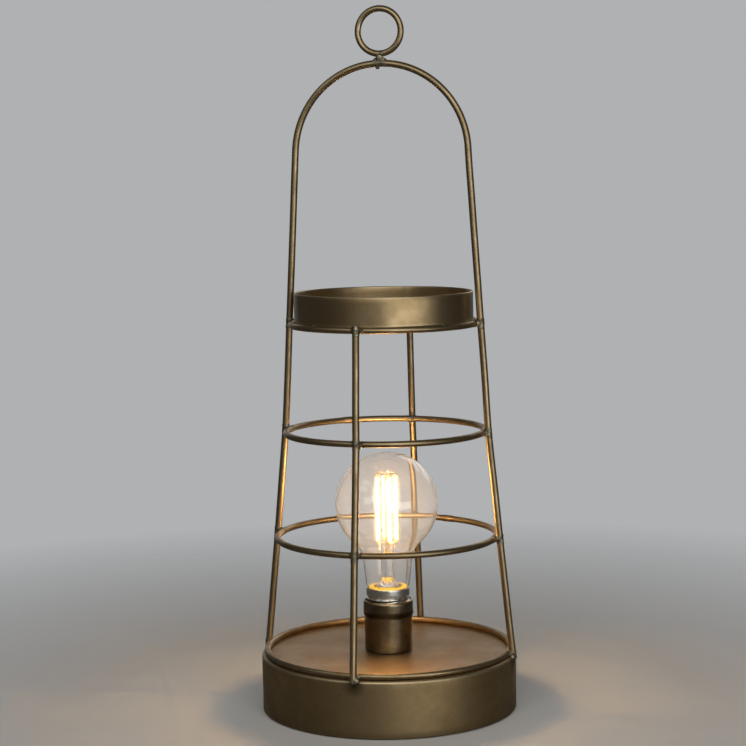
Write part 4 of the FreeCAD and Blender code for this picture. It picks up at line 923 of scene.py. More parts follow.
@dataclass
class WireCage:
    """Legs, hoops and rings bent from round wire, with their welds.

    Attributes:
        brass: Finish of the wires.
        weld_metal: Finish of the welds.
        work: Hand work that leaves the wires a little off.
        arch_radius: Centre line of the arch.
        bend_curve: Radius of the gentle bend in each leg.
        leg_lap: How far a leg runs down over the drum's shoulder.
    """

    brass: bpy.types.Material
    weld_metal: bpy.types.Material
    work: HandWork
    arch_radius: float = 51.9 * MM
    bend_curve: float = 60 * MM
    leg_lap: float = 1.7 * MM
    hoop_sink: float = 0.5 * MM
    foot_inset: float = 0.1 * MM
    wire_sides: int = 24
    drum: NodeBox = field(default_factory=lambda: NodeBox.of("base_pan"))
    arch: NodeBox = field(default_factory=lambda: NodeBox.of("arch_leg_wire"))
    front: NodeBox = field(default_factory=lambda: NodeBox.of("front_leg_wire"))
    rim: NodeBox = field(default_factory=lambda: NodeBox.of("base_rim_wire"))
    lower: NodeBox = field(default_factory=lambda: NodeBox.of("lower_hoop"))
    upper: NodeBox = field(default_factory=lambda: NodeBox.of("upper_hoop"))
    crown: NodeBox = field(default_factory=lambda: NodeBox.of("crown_ring_wire"))
    band: NodeBox = field(default_factory=lambda: NodeBox.of("crown_band"))

    def __post_init__(self) -> None:
        """Work out the wires' thickness and the points where a leg bends."""
        self.leg_wire = self.front.high.x
        self.hoop_wire = self.upper.height / 2
        foot_radius = self.drum.reach - self.foot_inset
        bend_radius = self.upper.reach + self.leg_wire - self.hoop_sink
        slope = (foot_radius - bend_radius) / (self.upper.middle - self.drum.high.z)
        foot_height = self.drum.high.z - self.leg_lap
        self.foot = Vector((foot_radius + slope * self.leg_lap, 0, foot_height))
        self.bend = Vector((bend_radius, 0, self.upper.middle))
        self.arch_centre = Vector((0, 0, self.arch.high.z - self.leg_wire - self.arch_radius))
        rise = self.arch_centre.z - self.bend.z
        lean = math.atan2(bend_radius, rise) - math.asin(
            self.arch_radius / math.hypot(bend_radius, rise)
        )
        self.upper_lean = lean
        self.tangent = self.arch_centre + self.arch_radius * Vector(
            (math.cos(lean), 0, math.sin(lean))
        )

    def leg_at(self, height: float) -> Vector:
        """Centre line of the right leg at a height."""
        below = height < self.bend.z
        start, end = (self.foot, self.bend) if below else (self.bend, self.tangent)
        return start.lerp(end, (height - start.z) / (end.z - start.z))

    def build(self) -> None:
        """Bend the wires, weld them and dress them."""
        self.build_legs()
        self.build_hoops()
        self.build_welds()

    # Wires.

    def start_wire(self, name: str, place: Vector, along: Vector) -> None:
        """Open end of a wire, left in edit mode with its ring selected."""
        clear_selection()
        bpy.ops.mesh.primitive_circle_add(
            vertices=self.wire_sides,
            radius=self.leg_wire,
            location=place,
            rotation=along.to_track_quat("Z", "Y").to_euler(),
        )
        piece = bpy.context.object
        piece.name = piece.data.name = name
        bpy.ops.object.transform_apply(location=True, rotation=True, scale=True)
        bpy.ops.object.mode_set(mode="EDIT")
        bpy.ops.mesh.select_all(action="SELECT")

    def draw_out(self, start: Vector, end: Vector, steps: int) -> None:
        """Draw the open end of the wire out in a straight run."""
        for _ in range(steps):
            bpy.ops.mesh.extrude_region_move(
                TRANSFORM_OT_translate={"value": (end - start) / steps}
            )

    def bend_round(self, centre: Vector, angle: float, steps: int) -> None:
        """Bend the wire round a centre; a positive angle turns it towards -X."""
        bpy.ops.mesh.spin(steps=steps, angle=angle, center=centre, axis=(0, 1, 0))

    def bend_corner(self) -> tuple[Vector, Vector, Vector, float]:
        """Ends, centre and angle of the arc that rounds a leg's bend."""
        into = (self.foot - self.bend).normalized()
        out = (self.tangent - self.bend).normalized()
        half = into.angle(out) / 2
        reach = self.bend_curve / math.tan(half)
        centre = self.bend + (into + out).normalized() * (self.bend_curve / math.sin(half))
        return self.bend + into * reach, self.bend + out * reach, centre, math.pi - 2 * half

    def build_legs(self) -> None:
        """The arch with its two legs, and the front and the back leg."""
        low, high, centre, angle = self.bend_corner()
        along = (self.bend - self.foot).normalized()
        self.start_wire("arch_wire", self.foot, along)
        self.draw_out(self.foot, low, 24)
        self.bend_round(centre, -angle, 6)
        self.draw_out(high, self.tangent, 28)
        self.bend_round(self.arch_centre, math.pi - 2 * self.upper_lean, 96)
        far_side = Vector((-1, 1, 1))
        self.draw_out(self.tangent * far_side, high * far_side, 28)
        self.bend_round(centre * far_side, -angle, 6)
        self.draw_out(low * far_side, self.foot * far_side, 24)
        self.finish_wire("arch_leg_wire", None)
        top = self.leg_at(self.front.high.z)
        for name, azimuth in (("front_leg_wire", -90.0), ("back_leg_wire", 90.0)):
            self.start_wire(f"{name}_piece", self.foot, along)
            self.draw_out(self.foot, low, 24)
            self.bend_round(centre, -angle, 6)
            self.draw_out(high, top, 14)
            self.finish_wire(name, azimuth)

    def finish_wire(self, node: str, azimuth: float | None) -> None:
        """Close a wire's ends, turn it to its azimuth and dress it."""
        piece = bpy.context.object
        bpy.ops.mesh.select_all(action="DESELECT")
        bpy.ops.mesh.select_non_manifold()
        bpy.ops.mesh.edge_face_add()
        bpy.ops.mesh.inset(thickness=0.5 * MM, depth=0.25 * MM)
        bpy.ops.object.mode_set(mode="OBJECT")
        if azimuth is not None:
            piece.rotation_euler.z = math.radians(azimuth)
            bpy.ops.object.transform_apply(location=True, rotation=True, scale=True)
        tidy_mesh(piece)
        self.work.wander(piece)
        settle(piece, Body.LAMP_FRAME, self.brass, [node])

    def build_hoops(self) -> None:
        """Rings of the cage, each with the swelling where its ends were butt-welded."""
        rings = (
            ("base_rim", "base_rim_wire", self.rim, 118.0),
            ("hoop_low", "lower_hoop", self.lower, 70.0),
            ("hoop_high", "upper_hoop", self.upper, 128.0),
            ("crown_ring", "crown_ring_wire", self.crown, 62.0),
        )
        for name, node, box, joint in rings:
            clear_selection()
            bpy.ops.mesh.primitive_torus_add(
                major_radius=box.reach - self.hoop_wire,
                minor_radius=self.hoop_wire,
                major_segments=224,
                minor_segments=20,
            )
            piece = bpy.context.object
            piece.name = piece.data.name = name
            bpy.ops.object.mode_set(mode="EDIT")
            bpy.ops.transform.translate(value=(0, 0, box.middle))
            self.swell_joint(piece, math.radians(joint), box.reach)
            bpy.ops.object.mode_set(mode="OBJECT")
            self.work.wander(piece)
            settle(piece, Body.LAMP_FRAME, self.brass, [node])

    def swell_joint(self, piece: Piece, azimuth: float, reach: float) -> None:
        """Swell a ring a little where its ends meet."""
        centre = Vector((math.cos(azimuth), math.sin(azimuth), 0)) * reach

        def close_to_joint(point: Vector) -> bool:
            """Whether a point lies at the joint."""
            return (Vector((point.x, point.y, 0)) - centre).length < HOOP_JOINT_REACH

        select_points(piece, close_to_joint)
        bpy.ops.transform.shrink_fatten(value=HOOP_JOINT_SWELL)
        bpy.ops.mesh.vertices_smooth(factor=0.4, repeat=1)

    # Welds.

    def crossing(self, box: NodeBox, bead: Bead) -> Weld:
        """Weld where the right leg crosses a ring."""
        leg = self.leg_at(box.middle)
        along = (self.leg_at(box.middle + 5 * MM) - leg).normalized()
        ring = Vector((box.reach - self.hoop_wire, 0, box.middle))
        return Weld(
            stubs=(
                Stub(leg, along, self.leg_wire + 0.12 * MM, 6.2 * MM),
                Stub(ring, Vector((0, 1, 0)), self.hoop_wire + 0.12 * MM, 7.4 * MM),
            ),
            beads=(bead,),
        )

    def build_welds(self) -> None:
        """Welds of the cage, four to a ring."""
        quarters = (0.0, 90.0, 180.0, 270.0)
        for name, box, rise in (
            ("lower_hoop_welds", self.lower, 0.4 * MM),
            ("upper_hoop_welds", self.upper, -0.3 * MM),
            ("crown_ring_welds", self.crown, 0.5 * MM),
        ):
            middle = (self.leg_at(box.middle).x + box.reach - self.hoop_wire) / 2
            bead = Bead(Vector((middle, 0.4 * MM, box.middle + rise)), (2.3 * MM, 3.0 * MM, 2.2 * MM))
            weld = self.crossing(box, bead).build(f"{name}_beads")
            self.finish_welds(copied_round(weld, quarters), name)
        feet = []
        for azimuth, side in ((0.0, -1), (90.0, 1), (180.0, -1), (270.0, 1)):
            feet.append(self.foot_weld(azimuth, side))
        self.finish_welds(join_pieces("foot_weld_beads", feet), "foot_welds")
        self.finish_welds(self.band_tacks(), "crown_band_tacks")

    def foot_weld(self, azimuth: float, side: int) -> Piece:
        """Blob that holds a leg's foot to the drum's shoulder, a little to one side."""
        leg = self.leg_at(self.drum.high.z + 0.6 * MM)
        along = (self.bend - self.foot).normalized()
        weld = Weld(
            stubs=(Stub(leg, along, self.leg_wire + 0.1 * MM, 4.6 * MM),),
            beads=(
                Bead(
                    Vector((leg.x + 0.1 * MM, side * 1.5 * MM, self.drum.high.z - 0.4 * MM)),
                    (2.2 * MM, 2.5 * MM, 2.3 * MM),
                ),
                Bead(
                    Vector((leg.x - 2.2 * MM, side * 1.2 * MM, self.drum.high.z + 1.9 * MM)),
                    (1.8 * MM, 3.1 * MM, 1.5 * MM),
                ),
            ),
        ).build(f"foot_{int(azimuth)}")
        weld.rotation_euler.z = math.radians(azimuth)
        return weld

    def band_tacks(self) -> Piece:
        """Small tacks between the band and the ring it stands in."""
        place = Vector((self.band.reach + 0.5 * MM, 0, self.crown.high.z - 0.2 * MM))
        tack = Weld(stubs=(), beads=(Bead(place, (1.1 * MM, 1.9 * MM, 1.0 * MM)),), passes=2)
        return copied_round(tack.build("band_tack_beads"), (56.0, 146.0, 236.0, 326.0))

    def finish_welds(self, piece: Piece, node: str) -> None:
        """Make each weld lumpy in its own way and dress them."""
        displace(piece, 1.7 * MM, 0.75 * MM)
        self.work.wander(piece)
        settle(piece, Body.LAMP_FRAME, self.weld_metal, [node], angle=60)


# The crown band.


@dataclass
class CrownBand:
    """Strip of sheet rolled into a band that stands inside the crown ring.

    Attributes:
        finish: Aged brass.
        gauge: Thickness of the sheet.
        seam_azimuth: Where the strip's ends meet.
    """

    finish: bpy.types.Material
    work: HandWork
    gauge: float = 1.1 * MM
    seam_azimuth: float = 90.0
    sides: int = 288
    box: NodeBox = field(default_factory=lambda: NodeBox.of("crown_band"))

    def build(self) -> None:
        """Roll the band, leave its unevenness and dress it."""
        reach, low, high = self.box.reach, self.box.low.z, self.box.high.z
        roll = self.gauge / 2
        middle = reach - roll
        outside = [(reach, low + roll + (high - low - self.gauge) * s / 6) for s in range(7)]
        inside = [(point[0] - self.gauge, point[1]) for point in reversed(outside)]
        profile = outside + arc((middle, high - roll), roll, 0, 180, 6)[1:-1]
        profile += inside + arc((middle, low + roll), roll, 180, 360, 6)[1:]
        band = turn_profile("crown_band_strip", profile, self.sides)
        displace(band, 30 * MM, 0.55 * MM)
        self.press_seam(band)
        self.work.wander(band)
        settle(band, Body.LAMP_FRAME, self.finish, ["crown_band"])

    def press_seam(self, band: Piece) -> None:
        """Low ridge of weld where the strip's ends meet, dressed flat."""
        azimuth = math.radians(self.seam_azimuth)
        seam = Vector((math.cos(azimuth), math.sin(azimuth), 0)) * self.box.reach
        take(band)
        bpy.ops.object.mode_set(mode="EDIT")

        def at_seam(point: Vector) -> bool:
            """Whether a point lies on the seam."""
            return (Vector((point.x, point.y, 0)) - seam).length < BAND_SEAM_REACH

        select_points(band, at_seam)
        bpy.ops.transform.shrink_fatten(value=BAND_SEAM_SWELL)
        bpy.ops.object.mode_set(mode="OBJECT")


# The hanging ring.


@dataclass
class HangingRing:
    """Ring of round wire on a neck of weld above the arch."""

    brass: bpy.types.Material
    weld_metal: bpy.types.Material
    work: HandWork
    box: NodeBox = field(default_factory=lambda: NodeBox.of("hanging_ring"))
    arch: NodeBox = field(default_factory=lambda: NodeBox.of("arch_leg_wire"))
    leg: NodeBox = field(default_factory=lambda: NodeBox.of("front_leg_wire"))

    def build(self) -> None:
        """Bend the ring, weld it on and dress it."""
        wire = self.box.high.y
        clear_selection()
        bpy.ops.mesh.primitive_torus_add(
            major_radius=self.box.reach - wire,
            minor_radius=wire,
            major_segments=128,
            minor_segments=24,
            rotation=(math.pi / 2, 0, 0),
        )
        ring = bpy.context.object
        ring.name = ring.data.name = "hanging_loop"
        bpy.ops.object.transform_apply(rotation=True)
        bpy.ops.object.mode_set(mode="EDIT")
        bpy.ops.transform.translate(value=(0, 0, self.box.middle))
        bpy.ops.object.mode_set(mode="OBJECT")
        self.work.wander(ring)
        settle(ring, Body.LAMP_FRAME, self.brass, ["hanging_ring"])
        self.build_neck(wire)

    def build_neck(self, wire: float) -> None:
        """Flared neck between the arch and the ring, and a drip under the arch."""
        arch_top, ring_low, leg = self.arch.high.z, self.box.low.z, self.leg.high.x
        gap = (arch_top + ring_low) / 2
        weld = Weld(
            stubs=(
                Stub(Vector((0, 0, arch_top - leg)), Vector((1, 0, 0)), leg + 0.1 * MM, 8.4 * MM),
                Stub(Vector((0, 0, ring_low + wire)), Vector((1, 0, 0)), wire + 0.05 * MM, 4.4 * MM),
            ),
            beads=(
                Bead(Vector((0, 0, gap)), (2.2 * MM, 2.1 * MM, 2.4 * MM)),
                Bead(Vector((-1.6 * MM, 0.2 * MM, arch_top + 0.3 * MM)), (2.0 * MM, 1.9 * MM, 0.9 * MM)),
                Bead(Vector((1.7 * MM, 0, arch_top + 0.3 * MM)), (2.0 * MM, 1.9 * MM, 0.8 * MM)),
                Bead(Vector((-1.3 * MM, 0, arch_top - 2 * leg - 0.3 * MM)), (1.3 * MM, 1.2 * MM, 1.2 * MM)),
            ),
        ).build("hanging_neck_weld")
        displace(weld, 1.7 * MM, 0.6 * MM)
        self.work.wander(weld)
        nodes = ["hanging_ring_weld"]
        settle(weld, Body.LAMP_FRAME, self.weld_metal, nodes, angle=60)


# The lampholder.


@dataclass
class Lampholder:
    """Drawn shell with a rolled thread under its collar and a rolled-in lip.

    Attributes:
        finish: Dark bronze.
        barrel: Outer radius below the collar.
        collar: Outer radius of the collar.
        collar_height: Height at which the collar starts.
        lip: Radius of the mouth.
        lip_height: Height of the rolled-in part.
        pitch: Climb of the rolled thread in a turn.
        thread_start: Azimuth in degrees and height at which the rolled thread starts.
        thread_turns: Its length in turns.
        thread_half: Half of its width.
        thread_depth: Its depth.
    """

    finish: bpy.types.Material
    barrel: float = 14.1 * MM
    collar: float = 14.6 * MM
    collar_height: float = 55.2 * MM
    collar_slope: float = 0.6 * MM
    lip: float = 13.6 * MM
    lip_height: float = 1.9 * MM
    wall: float = 0.5 * MM
    corner: float = 1.1 * MM
    pitch: float = 3.629 * MM
    thread_start: tuple[float, float] = (110.0, 53.8 * MM)
    thread_turns: float = 0.94
    thread_half: float = 1.4 * MM
    thread_depth: float = 0.95 * MM
    sides: int = 224
    box: NodeBox = field(default_factory=lambda: NodeBox.of("holder_shell"))
    nipple: NodeBox = field(default_factory=lambda: NodeBox.of("threaded_nipple"))

    def build(self) -> None:
        """Draw the shell, roll its thread and dress it."""
        shell = turn_profile("lampholder_shell", self.profile(), self.sides)
        self.roll_thread(shell)
        settle(shell, Body.LAMP_FRAME, self.finish, ["holder_shell"], angle=50)

    def profile(self) -> list[Point]:
        """Section of the shell, up the outside, over the lip and down the inside."""
        foot, top = self.box.low.z, self.box.high.z
        hole = self.nipple.reach + 0.2 * MM
        low, high = self.thread_start[1] - 3 * MM, self.collar_height + self.collar_slope
        outside = [(hole, foot), (self.barrel - self.corner, foot)]
        outside += arc((self.barrel - self.corner, foot + self.corner), self.corner, -90, 0, 6)[1:]
        outside += [(self.barrel, foot + (low - foot) * share) for share in (0.35, 0.7)]
        steps = round((self.collar_height - low) / (0.22 * MM))
        outside += [(self.barrel, low + (self.collar_height - low) * s / steps) for s in range(steps + 1)]
        shoulder = top - self.lip_height
        steps = round((shoulder - high) / (0.26 * MM))
        outside += [(self.collar, high + (shoulder - high) * s / steps) for s in range(steps + 1)]
        across = self.collar - self.lip
        for step in range(1, 9):
            turn = math.radians(90 * step / 8)
            outside.append(
                (self.lip + across * math.cos(turn), shoulder + self.lip_height * math.sin(turn))
            )
        inside = [(self.lip - 0.1 * MM, top - 0.5 * MM), (self.lip + 0.2 * MM, shoulder)]
        inside += [(self.collar - self.wall, high), (self.barrel - self.wall, self.collar_height - 2 * MM)]
        inside += [(self.barrel - self.wall, foot + 0.8 * MM), (hole, foot + 0.8 * MM), (hole, foot)]
        return outside + inside

    def roll_thread(self, shell: Piece) -> None:
        """Press the helical groove: a weight for each point, then one inward push."""
        group = shell.vertex_groups.new(name="thread")
        groove_shade = [0.0] * len(shell.data.vertices)
        start_azimuth, start_height = self.thread_start
        for vert in shell.data.vertices:
            radius = math.hypot(vert.co.x, vert.co.y)
            if radius < self.barrel - 0.1 * MM:
                continue
            turn = (math.degrees(math.atan2(vert.co.y, vert.co.x)) - start_azimuth) % 360 / 360
            off = abs(vert.co.z - start_height - self.pitch * turn) / self.thread_half
            ends = min(1.0, turn / 0.05, max(0.0, (self.thread_turns - turn) / 0.05))
            if off < 1 and ends > 0:
                round_off = math.sqrt(1 - off * off)
                extra = (radius - self.barrel) / self.thread_depth
                group.add([vert.index], min(1.0, (round_off * (1 + extra)) * ends), "REPLACE")
                groove_shade[vert.index] = ends * min(1.0, 1.6 * round_off**2)
        # The groove attribute weights the painted shade in the groove.
        shell.data.attributes.new("groove", "FLOAT", "POINT")
        shell.data.attributes["groove"].data.foreach_set("value", groove_shade)
        apply_modifier(
            shell,
            "DISPLACE",
            vertex_group="thread",
            strength=-self.thread_depth,
            mid_level=0.0,
        )


# The lamp.


@dataclass
class FilamentLamp:
    """Clear globe lamp with a screw cap, a glass stem and four lit filaments.

    Attributes:
        glass: Finish of the globe.
        stem_glass: Finish of the stem.
        coat: Finish of the filaments.
        nickel: Finish of the cap.
        yellow: Finish of the disc.
        wall: Thickness of the glass.
    """

    glass: bpy.types.Material
    stem_glass: bpy.types.Material
    coat: bpy.types.Material
    nickel: bpy.types.Material
    yellow: bpy.types.Material
    wall: float = 0.7 * MM
    throat: float = 13.2 * MM
    throat_rise: float = 2.8 * MM
    tube: float = 12.2 * MM
    flare: float = 5.3
    neck_curve: float = 16 * MM
    root: float = 12.1 * MM
    crest: float = 1.05 * MM
    pitch: float = 3.629 * MM
    band: float = 12.7 * MM
    band_height: float = 4.4 * MM
    envelope: NodeBox = field(default_factory=lambda: NodeBox.of("glass_envelope"))
    cap: NodeBox = field(default_factory=lambda: NodeBox.of("cap_shell"))
    stem: NodeBox = field(default_factory=lambda: NodeBox.of("glass_stem"))
    disc: NodeBox = field(default_factory=lambda: NodeBox.of("driver_disc"))
    rods: NodeBox = field(default_factory=lambda: NodeBox.of("filaments"))

    def build(self) -> None:
        """Model and dress the lamp's globe, cap, disc, stem and filaments."""
        self.build_glass()
        self.build_cap()
        self.build_disc()
        self.build_stem()
        self.build_filaments()

    def glass_profile(self) -> list[Point]:
        """Outer line of the glass, from the tube in the cap to the globe's pole."""
        globe = self.envelope.reach
        centre = self.envelope.high.z - globe
        lean, rim = math.radians(self.flare), self.cap.high.z
        throat = (self.throat, rim + self.throat_rise)
        # The neck runs straight at its lean until its curve of neck_curve meets the globe.
        across = throat[0] + self.neck_curve * math.cos(lean)
        up = throat[1] - self.neck_curve * math.sin(lean) - centre
        along = across * math.sin(lean) + up * math.cos(lean)
        far = (globe + self.neck_curve) ** 2
        run = -along - math.sqrt(along**2 - across**2 - up**2 + far)
        curve = (across + run * math.sin(lean), centre + up + run * math.cos(lean))
        meet = math.degrees(math.atan2(centre - curve[1], -curve[0]))
        neck = arc(curve, self.neck_curve, 180 - self.flare, meet % 360, 14)
        start = math.degrees(math.atan2(curve[1] - centre, curve[0]))
        bulge = arc((0, centre), globe, start, 90, 48)
        low = [(self.tube, self.envelope.low.z), (self.tube, rim - 1 * MM), (self.tube, rim)]
        low += [(self.tube + 0.35 * MM, rim + 0.9 * MM), (self.throat - 0.25 * MM, throat[1] - 0.8 * MM)]
        return low + neck + bulge[1:-1] + [(0, centre + globe)]

    def build_glass(self) -> None:
        """The globe: one turned skin with a wall of glass."""
        globe = turn_profile("bulb_globe", self.glass_profile(), 160)
        apply_modifier(globe, "SOLIDIFY", thickness=self.wall, offset=-1.0, use_even_offset=True)
        settle(globe, Body.BULB, self.glass, ["glass_envelope"], angle=60)

    def build_cap(self) -> None:
        """The rolled screw cap, with its plain band below the rim."""
        low, high = self.cap.low.z, self.cap.high.z
        band_low = high - self.band_height
        step = self.band - self.root
        rows = round((band_low - step - low - 1.1 * MM) / (0.3 * MM))
        start, end = low + 1.1 * MM, band_low - step
        profile = [(11.0 * MM, low)]
        profile += [(self.root, start + (end - start) * row / rows) for row in range(rows + 1)]
        profile += arc((self.root, band_low), step, -60, 0, 4)
        profile += [(self.band, band_low + share * self.band_height) for share in (0.25, 0.5, 0.75)]
        profile += arc((self.band - 0.35 * MM, high - 0.35 * MM), 0.35 * MM, 0, 90, 4)
        profile += [(self.tube + 0.06 * MM, high), (self.tube + 0.06 * MM, band_low)]
        profile += [(self.root - 0.3 * MM, end), (self.root - 0.3 * MM, start)]
        profile += [(10.7 * MM, low + 0.3 * MM), (11.0 * MM, low)]
        cap = turn_profile("screw_cap", profile, 144)
        self.roll_cap_thread(cap, start + 2.2 * MM, end - 1.2 * MM)
        settle(cap, Body.BULB, self.nickel, ["cap_shell"], angle=50)

    def roll_cap_thread(self, cap: Piece, low: float, high: float) -> None:
        """Push the thread out of the cap's wall."""
        group = cap.vertex_groups.new(name="thread")
        for vert in cap.data.vertices:
            if math.hypot(vert.co.x, vert.co.y) < self.root - 0.05 * MM:
                continue
            turn = math.atan2(vert.co.y, vert.co.x) / FULL_TURN
            phase = ((vert.co.z - low) / self.pitch - turn) % 1
            wave = 0.5 - 0.5 * math.cos(FULL_TURN * phase)
            ends = min(1.0, max(0.0, (vert.co.z - low + 1.5 * MM) / (1.5 * MM)))
            ends = min(ends, max(0.0, (high + 1.2 * MM - vert.co.z) / (1.2 * MM)))
            group.add([vert.index], wave * ends, "REPLACE")
        apply_modifier(
            cap, "DISPLACE", vertex_group="thread", strength=self.crest, mid_level=0.0
        )

    def build_disc(self) -> None:
        """Shallow dish with a raised edge."""
        reach, low, high = self.disc.reach, self.disc.low.z, self.disc.high.z
        edge = 0.35 * MM
        profile = [(reach - edge, low), (reach, low + edge), (reach, high - edge / 2)]
        profile += [(reach - edge, high), (reach - 3 * edge, high - edge), (reach * 0.4, high - edge)]
        profile += [(0, high - edge)]
        dish = turn_profile("yellow_disc", profile, 96)
        close_foot(dish, low)
        settle(dish, Body.BULB, self.yellow, ["driver_disc"])

    def build_stem(self) -> None:
        """Flared glass foot, pinched tube and post with a button."""
        low, high = self.stem.low.z, self.stem.high.z
        flare, tube, post, button = 8.5 * MM, 3.2 * MM, 1.4 * MM, 2.3 * MM
        curve = flare - tube
        pinch = self.cap.high.z + 22 * MM
        profile = [(flare, low)] + arc((flare, low + self.wall + curve), curve, 270, 180, 10)
        profile += [(tube, pinch - 6 * MM), (tube, pinch - 3 * MM), (tube * 0.8, pinch - 1.8 * MM)]
        profile += [(post, pinch), (post, (pinch + high) / 2), (post, high - 2.4 * MM)]
        profile += [(button, high - 1.8 * MM), (button, high - 0.7 * MM), (button * 0.6, high - 0.1 * MM)]
        profile += [(0, high)]
        stem = turn_profile("glass_stem_post", profile, 48)
        close_foot(stem, low)
        settle(stem, Body.BULB, self.stem_glass, ["glass_stem"], angle=60)

    def build_filaments(self) -> None:
        """Four coated rods with rounded ends and metal pins."""
        circle, rod, pin = 5.6 * MM, 0.85 * MM, 0.3 * MM
        low, high = self.rods.low.z + 1.6 * MM, self.rods.high.z - 1.6 * MM
        pieces = []
        for azimuth in (31.0, 121.0, 211.0, 301.0):
            turn = math.radians(azimuth)
            place = Vector((math.cos(turn), math.sin(turn), 0)) * circle
            profile = [(pin, self.rods.low.z), (pin, low)]
            profile += arc((rod - 0.3 * MM, low + 0.3 * MM), 0.3 * MM, -90, 0, 3)
            profile += [(rod, low + (high - low) * s / 8) for s in range(1, 8)]
            profile += arc((rod - 0.3 * MM, high - 0.3 * MM), 0.3 * MM, 0, 90, 3)
            profile += [(pin, high), (pin, self.rods.high.z - 0.05 * MM), (0, self.rods.high.z)]
            piece = turn_profile(f"rod_{int(azimuth)}", profile, 20)
            close_foot(piece, self.rods.low.z)
            piece.location = place
            pieces.append(piece)
        rods = join_pieces("filament_rods", pieces)
        settle(rods, Body.BULB, self.coat, ["filaments"])


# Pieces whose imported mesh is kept.


@dataclass(frozen=True)
class InnerWorks:
    """Fasteners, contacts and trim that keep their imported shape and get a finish."""

    lead_wire: bpy.types.Material

    def build(self) -> None:
        """Dress each of them."""
        zinc = PlainMetal("zinc_plate", (0.62, 0.63, 0.62), (0.42, 0.41, 0.36), (0.28, 0.5)).build()
        brass = PlainMetal("contact_strip_brass", (0.78, 0.58, 0.28), (0.5, 0.34, 0.15), (0.2, 0.4)).build()
        black = DullBody("cover_lacquer", (0.022, 0.021, 0.02), (0.012, 0.012, 0.011), (0.5, 0.35)).build()
        rubber = DullBody(
            "soft_rubber", (0.03, 0.028, 0.026), (0.018, 0.017, 0.016), (0.75, 0.6), grain=0.35 * MM
        ).build()
        foam = DullBody(
            "felted_foam", (0.045, 0.042, 0.04), (0.02, 0.02, 0.02), (0.95, 0.85),
            lump=1.2 * MM, grain=0.25 * MM, relief=0.15 * MM, sheen=0.4,
        ).build()
        ceramic = DullBody(
            "glazed_ceramic", (0.78, 0.76, 0.7), (0.66, 0.63, 0.56), (0.25, 0.4), grain=1.5 * MM
        ).build()
        glass_black = DullBody("black_glass", (0.012, 0.012, 0.014), (0.03, 0.03, 0.035), (0.1, 0.2)).build()
        for node in ("cover_brackets", "cover_screws", "threaded_nipple", "nipple_nuts", "lock_washer"):
            dress_node(node, Slot.ZINC_STEEL, zinc)
        for node in ("centre_contact", "side_contact", "terminal_blocks", "terminal_screws", "earth_tag"):
            dress_node(node, Slot.CONTACT_BRASS, brass)
        dress_node("bottom_cover", Slot.COVER_BLACK, black)
        dress_node("inlet_grommet", Slot.GROMMET_RUBBER, rubber)
        dress_node("foot_pads", Slot.PAD_FOAM, foam)
        dress_node("contact_carrier", Slot.CARRIER_CERAMIC, ceramic)
        dress_node("cap_insulator", Slot.INSULATOR_BLACK, glass_black)
        dress_node("cap_tip_contact", Slot.CONTACT_BRASS, brass)
        for node in ("stem_lead_wires", "filament_top_ring"):
            dress_node(node, Slot.LEAD_WIRE, self.lead_wire)


# The studio.


@dataclass(frozen=True)
class Camera:
    """Camera at the photograph's viewing angle.

    Attributes:
        azimuth: Degrees round the lamp from the front leg.
        distance: Level distance to the lamp's axis.
        aside: Step to the camera's right.
        height: Height above the table.
        pitch: Degrees downwards.
        roll: Degrees of roll.
        focal_pixels: Focal length in pixels of the picture.
    """

    azimuth: float = 16.0
    distance: float = 1153.6 * MM
    aside: float = -6.73 * MM
    height: float = 316.8 * MM
    pitch: float = 5.87
    roll: float = -0.95
    focal_pixels: float = 1985.0
    picture: float = 746.0
    sensor: float = 36.0

    def build(self) -> Piece:
        """Place the camera."""
        turn = Matrix.Rotation(math.radians(self.azimuth), 3, "Z")
        pitch, roll = math.radians(self.pitch), math.radians(self.roll)
        forward = turn @ Vector((0, math.cos(pitch), -math.sin(pitch)))
        level = turn @ Vector((1, 0, 0))
        above = level.cross(forward)
        right = level * math.cos(roll) + above * math.sin(roll)
        up = above * math.cos(roll) - level * math.sin(roll)
        axes = Matrix((right, up, -forward)).transposed().to_4x4()
        place = turn @ Vector((self.aside, -self.distance, self.height))
        bpy.ops.object.camera_add()
        camera = bpy.context.object
        camera.name = "photo_camera"
        camera.matrix_world = Matrix.Translation(place) @ axes
        camera.data.sensor_width = self.sensor
        camera.data.lens = self.focal_pixels / self.picture * self.sensor
        camera.data.clip_start, camera.data.clip_end = 0.05, 20
        bpy.context.scene.camera = camera
        return camera


def direction(azimuth: float, elevation: float) -> Vector:
    """Direction from the lantern at an azimuth, as the camera's, and an elevation in degrees."""
    azimuth, elevation = math.radians(azimuth), math.radians(elevation)
    level = Vector((math.sin(azimuth), -math.cos(azimuth), 0))
    return level * math.cos(elevation) + Vector((0, 0, math.sin(elevation)))


@dataclass(frozen=True)
class SoftLamp:
    """Large soft lamp that looks at the lantern.

    Attributes:
        azimuth: Degrees round the lamp, as the camera's.
        elevation: Degrees above the table.
        distance: Distance from the lantern.
        size: Width and height.
        power: Watts.
        colour: Colour of its light.
    """

    name: str
    azimuth: float
    elevation: float
    distance: float
    size: tuple[float, float]
    power: float
    colour: tuple[float, float, float] = (1.0, 1.0, 1.0)

    def build(self) -> None:
        """Hang the lamp."""
        back = direction(self.azimuth, self.elevation)
        aim = Vector((0, 0, 0.18))
        bpy.ops.object.light_add(type="AREA", location=aim + back * self.distance)
        light = bpy.context.object
        light.name = self.name
        light.rotation_euler = back.to_track_quat("Z", "Y").to_euler()
        light.data.shape = "RECTANGLE"
        light.data.size, light.data.size_y = self.size
        light.data.energy = self.power
        light.data.color = self.colour
        light.visible_camera = False


